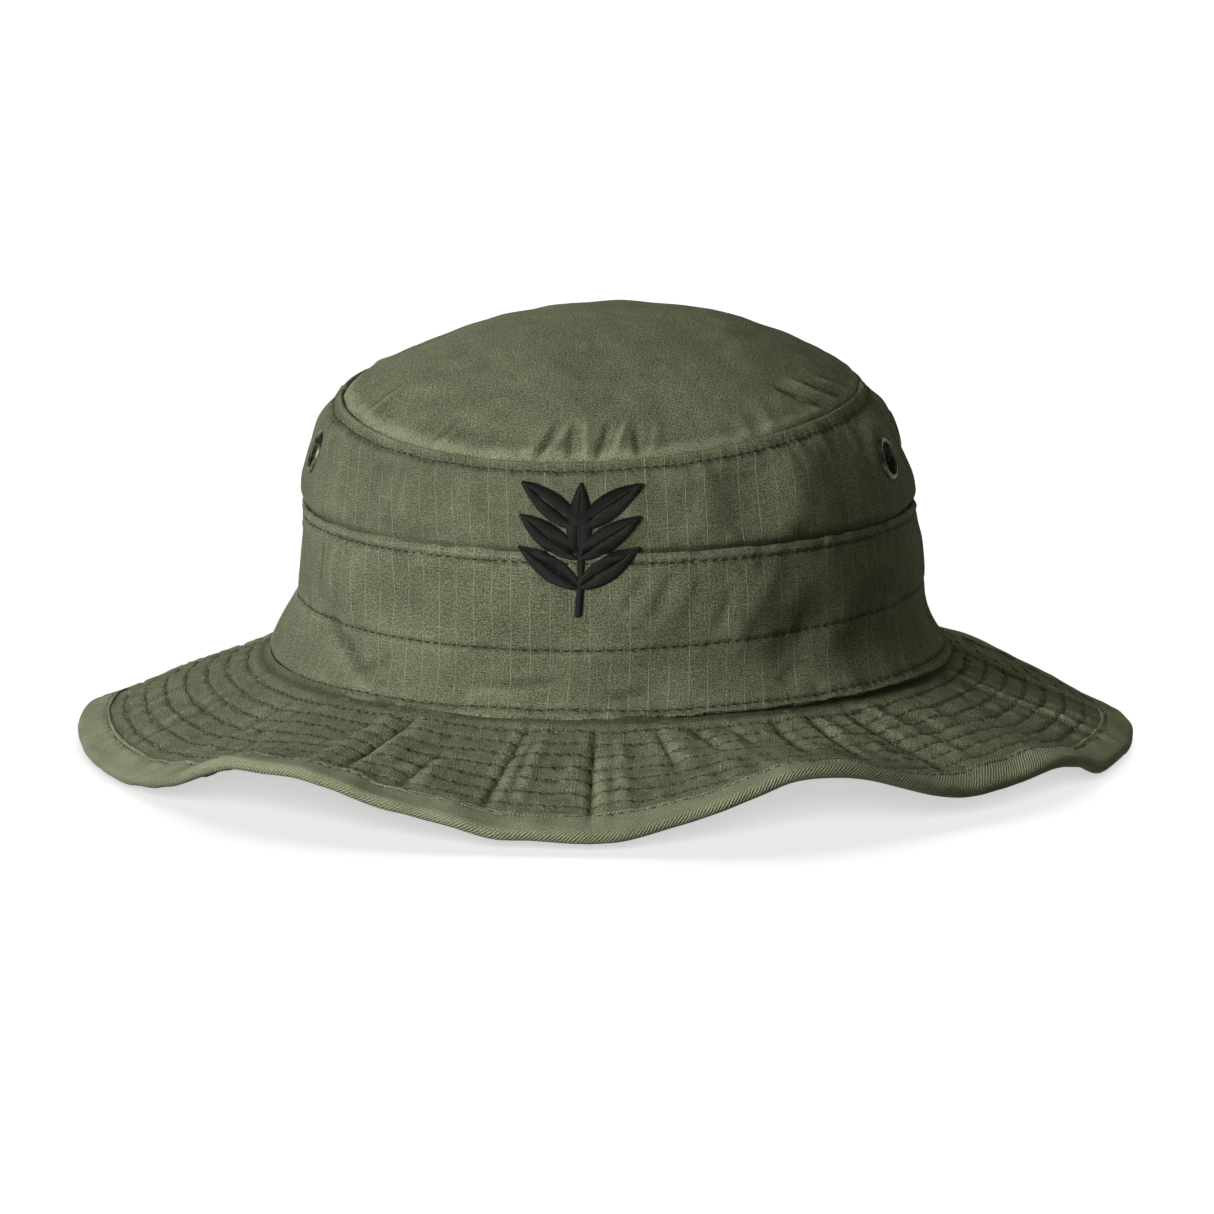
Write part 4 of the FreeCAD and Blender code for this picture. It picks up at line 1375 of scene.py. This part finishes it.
tape_base = tape_points + tape_normals * tape_path[:, 1:, None]
tape_grid, tape_outward = displaced(tape_base, tape_height)
cloth_piece(
    "brim_binding_tape",
    tape_grid,
    TAPE_THICKNESS,
    TAPE,
    "bias_tape",
    ["brim_binding"],
    flat_maps(arc_lengths(46.0), tape_steps),
    relief_of(tape_height),
    slice(0, -1),
    ring=True,
    lining_step=3,
)
lines = [
    (tape_grid[row], tape_outward[row], binding_phase[0])
    for row in (TAPE_STITCH_ROW, len(tape_path) - 1 - TAPE_STITCH_ROW)
]
stitch_piece("binding_stitches", lines, ["binding_thread"], QUILTING_THREAD, 35)

# ---------------------------------------------------------------- floor, light and camera
scene = bpy.context.scene
scene.view_settings.view_transform = "Standard"
WHITE = (1.0, 1.0, 1.0, 1.0)
FLOOR_REACH = 6
FLOOR_LEVEL = -0.0008

# The world is seen only by the camera.
world = bpy.data.worlds.new("studio")
world.use_nodes = True
background = world.node_tree.nodes["Background"]
background.inputs["Color"].default_value = WHITE
background.inputs["Strength"].default_value = 1.0
world.cycles_visibility.diffuse = False
world.cycles_visibility.glossy = False
scene.world = world

# The floor is clear from below, so that the underside of the hat can be seen.
floor_finish = Finish("pale_floor", Roughness=0.9, Specular_IOR_Level=0.0)
floor_finish.shader.inputs["Base Color"].default_value = (0.8, 0.8, 0.8, 1.0)
floor_finish.shader.inputs["Emission Color"].default_value = WHITE
floor_finish.shader.inputs["Emission Strength"].default_value = 0.54
from_below = floor_finish.node("ShaderNodeNewGeometry").outputs["Backfacing"]
clear = floor_finish.node("ShaderNodeBsdfTransparent").outputs["BSDF"]
mix_inputs = {0: from_below, 1: floor_finish.shader.outputs[0], 2: clear}
one_sided = floor_finish.node("ShaderNodeMixShader", mix_inputs)
floor_surface = floor_finish.tree.nodes["Material Output"].inputs["Surface"]
floor_finish.tree.links.new(one_sided.outputs[0], floor_surface)
floor_mesh = bpy.data.meshes.new("floor")
floor_corners = [(x * FLOOR_REACH, y * FLOOR_REACH, 0) for x, y in ((-1, -1), (1, -1), (1, 1), (-1, 1))]
floor_mesh.from_pydata(floor_corners, [], [(0, 1, 2, 3)])
floor_mesh.materials.append(floor_finish.material)
floor = bpy.data.objects.new("floor", floor_mesh)
scene.collection.objects.link(floor)
floor.location.z = FLOOR_LEVEL
floor.visible_diffuse = False
floor.visible_shadow = False
floor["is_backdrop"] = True

hat_only = bpy.data.collections.new("hat_only")
floor_only = bpy.data.collections.new("floor_only")
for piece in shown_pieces():
    hat_only.objects.link(piece)
floor_only.objects.link(floor)


def make_lamp(name, kind, direction, receivers):
    """A light that falls on one collection only, and the direction that it comes from."""
    aim = Vector(direction).normalized()
    lamp = bpy.data.objects.new(name, bpy.data.lights.new(name, kind))
    lamp.rotation_euler = aim.to_track_quat("Z", "Y").to_euler()
    lamp.light_linking.receiver_collection = receivers
    scene.collection.objects.link(lamp)
    return lamp, aim


# Square lights. Their strength is that of the light on the middle of the hat.
HAT_MIDDLE = Vector((0.0, 0.0, 0.05))
KEY_COLOUR = (1.0, 1.0, 0.99)
FILL_COLOUR = (1.0, 1.0, 0.72)
for name, direction, distance, size, strength, colour in (
    ("key", (-0.69, -0.8, 0.38), 2.2, 1.0, 1.42, KEY_COLOUR),
    ("overhead", (-0.1, -0.25, 1.0), 1.8, 1.6, 0.14, FILL_COLOUR),
    ("front_fill", (0.3, -1.0, 0.2), 2.4, 1.6, 0.11, FILL_COLOUR),
    ("right_fill", (0.7, 1.0, 0.3), 2.4, 1.6, 0.16, FILL_COLOUR),
    ("back_fill", (-0.3, 1.0, 0.3), 2.4, 1.8, 0.3, FILL_COLOUR),
    ("under_fill", (-0.2, -0.2, -1.0), 1.8, 1.6, 0.14, FILL_COLOUR),
):
    lamp, aim = make_lamp(name, "AREA", direction, hat_only)
    lamp.data.shape = "SQUARE"
    lamp.data.size = size
    lamp.data.energy = strength * (math.pi * distance) ** 2
    lamp.data.color = colour
    lamp.location = aim * distance + HAT_MIDDLE

# Wide sunlight that falls only on the floor, so that the hat's shadow on it stays soft.
for name, direction, spread, strength in (
    ("floor_front", (0.08, -1.0, 0.3), 26.0, 0.33),
    ("floor_back", (0.0, 1.0, 0.9), 84.0, 0.36),
):
    lamp, aim = make_lamp(name, "SUN", direction, floor_only)
    lamp.data.angle = math.radians(spread)
    lamp.data.energy = strength * math.pi / aim.z

CAMERA_AZIMUTH = 4.5
CAMERA_ELEVATION = 10.0
CAMERA_DISTANCE = 1.6
CAMERA_TARGET = Vector((0.0, 0.0, 0.0352))
turn = math.radians(CAMERA_AZIMUTH)
tilt = math.radians(CAMERA_ELEVATION)
back = Vector((math.sin(turn) * math.cos(tilt), -math.cos(turn) * math.cos(tilt), math.sin(tilt)))
camera_data = bpy.data.cameras.new("camera")
camera_data.lens = 175.7
camera_data.sensor_width = 36.0
camera = bpy.data.objects.new("camera", camera_data)
camera.location = CAMERA_TARGET + back * CAMERA_DISTANCE
camera.rotation_euler = back.to_track_quat("Z", "Y").to_euler()
scene.collection.objects.link(camera)
scene.camera = camera

low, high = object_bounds()
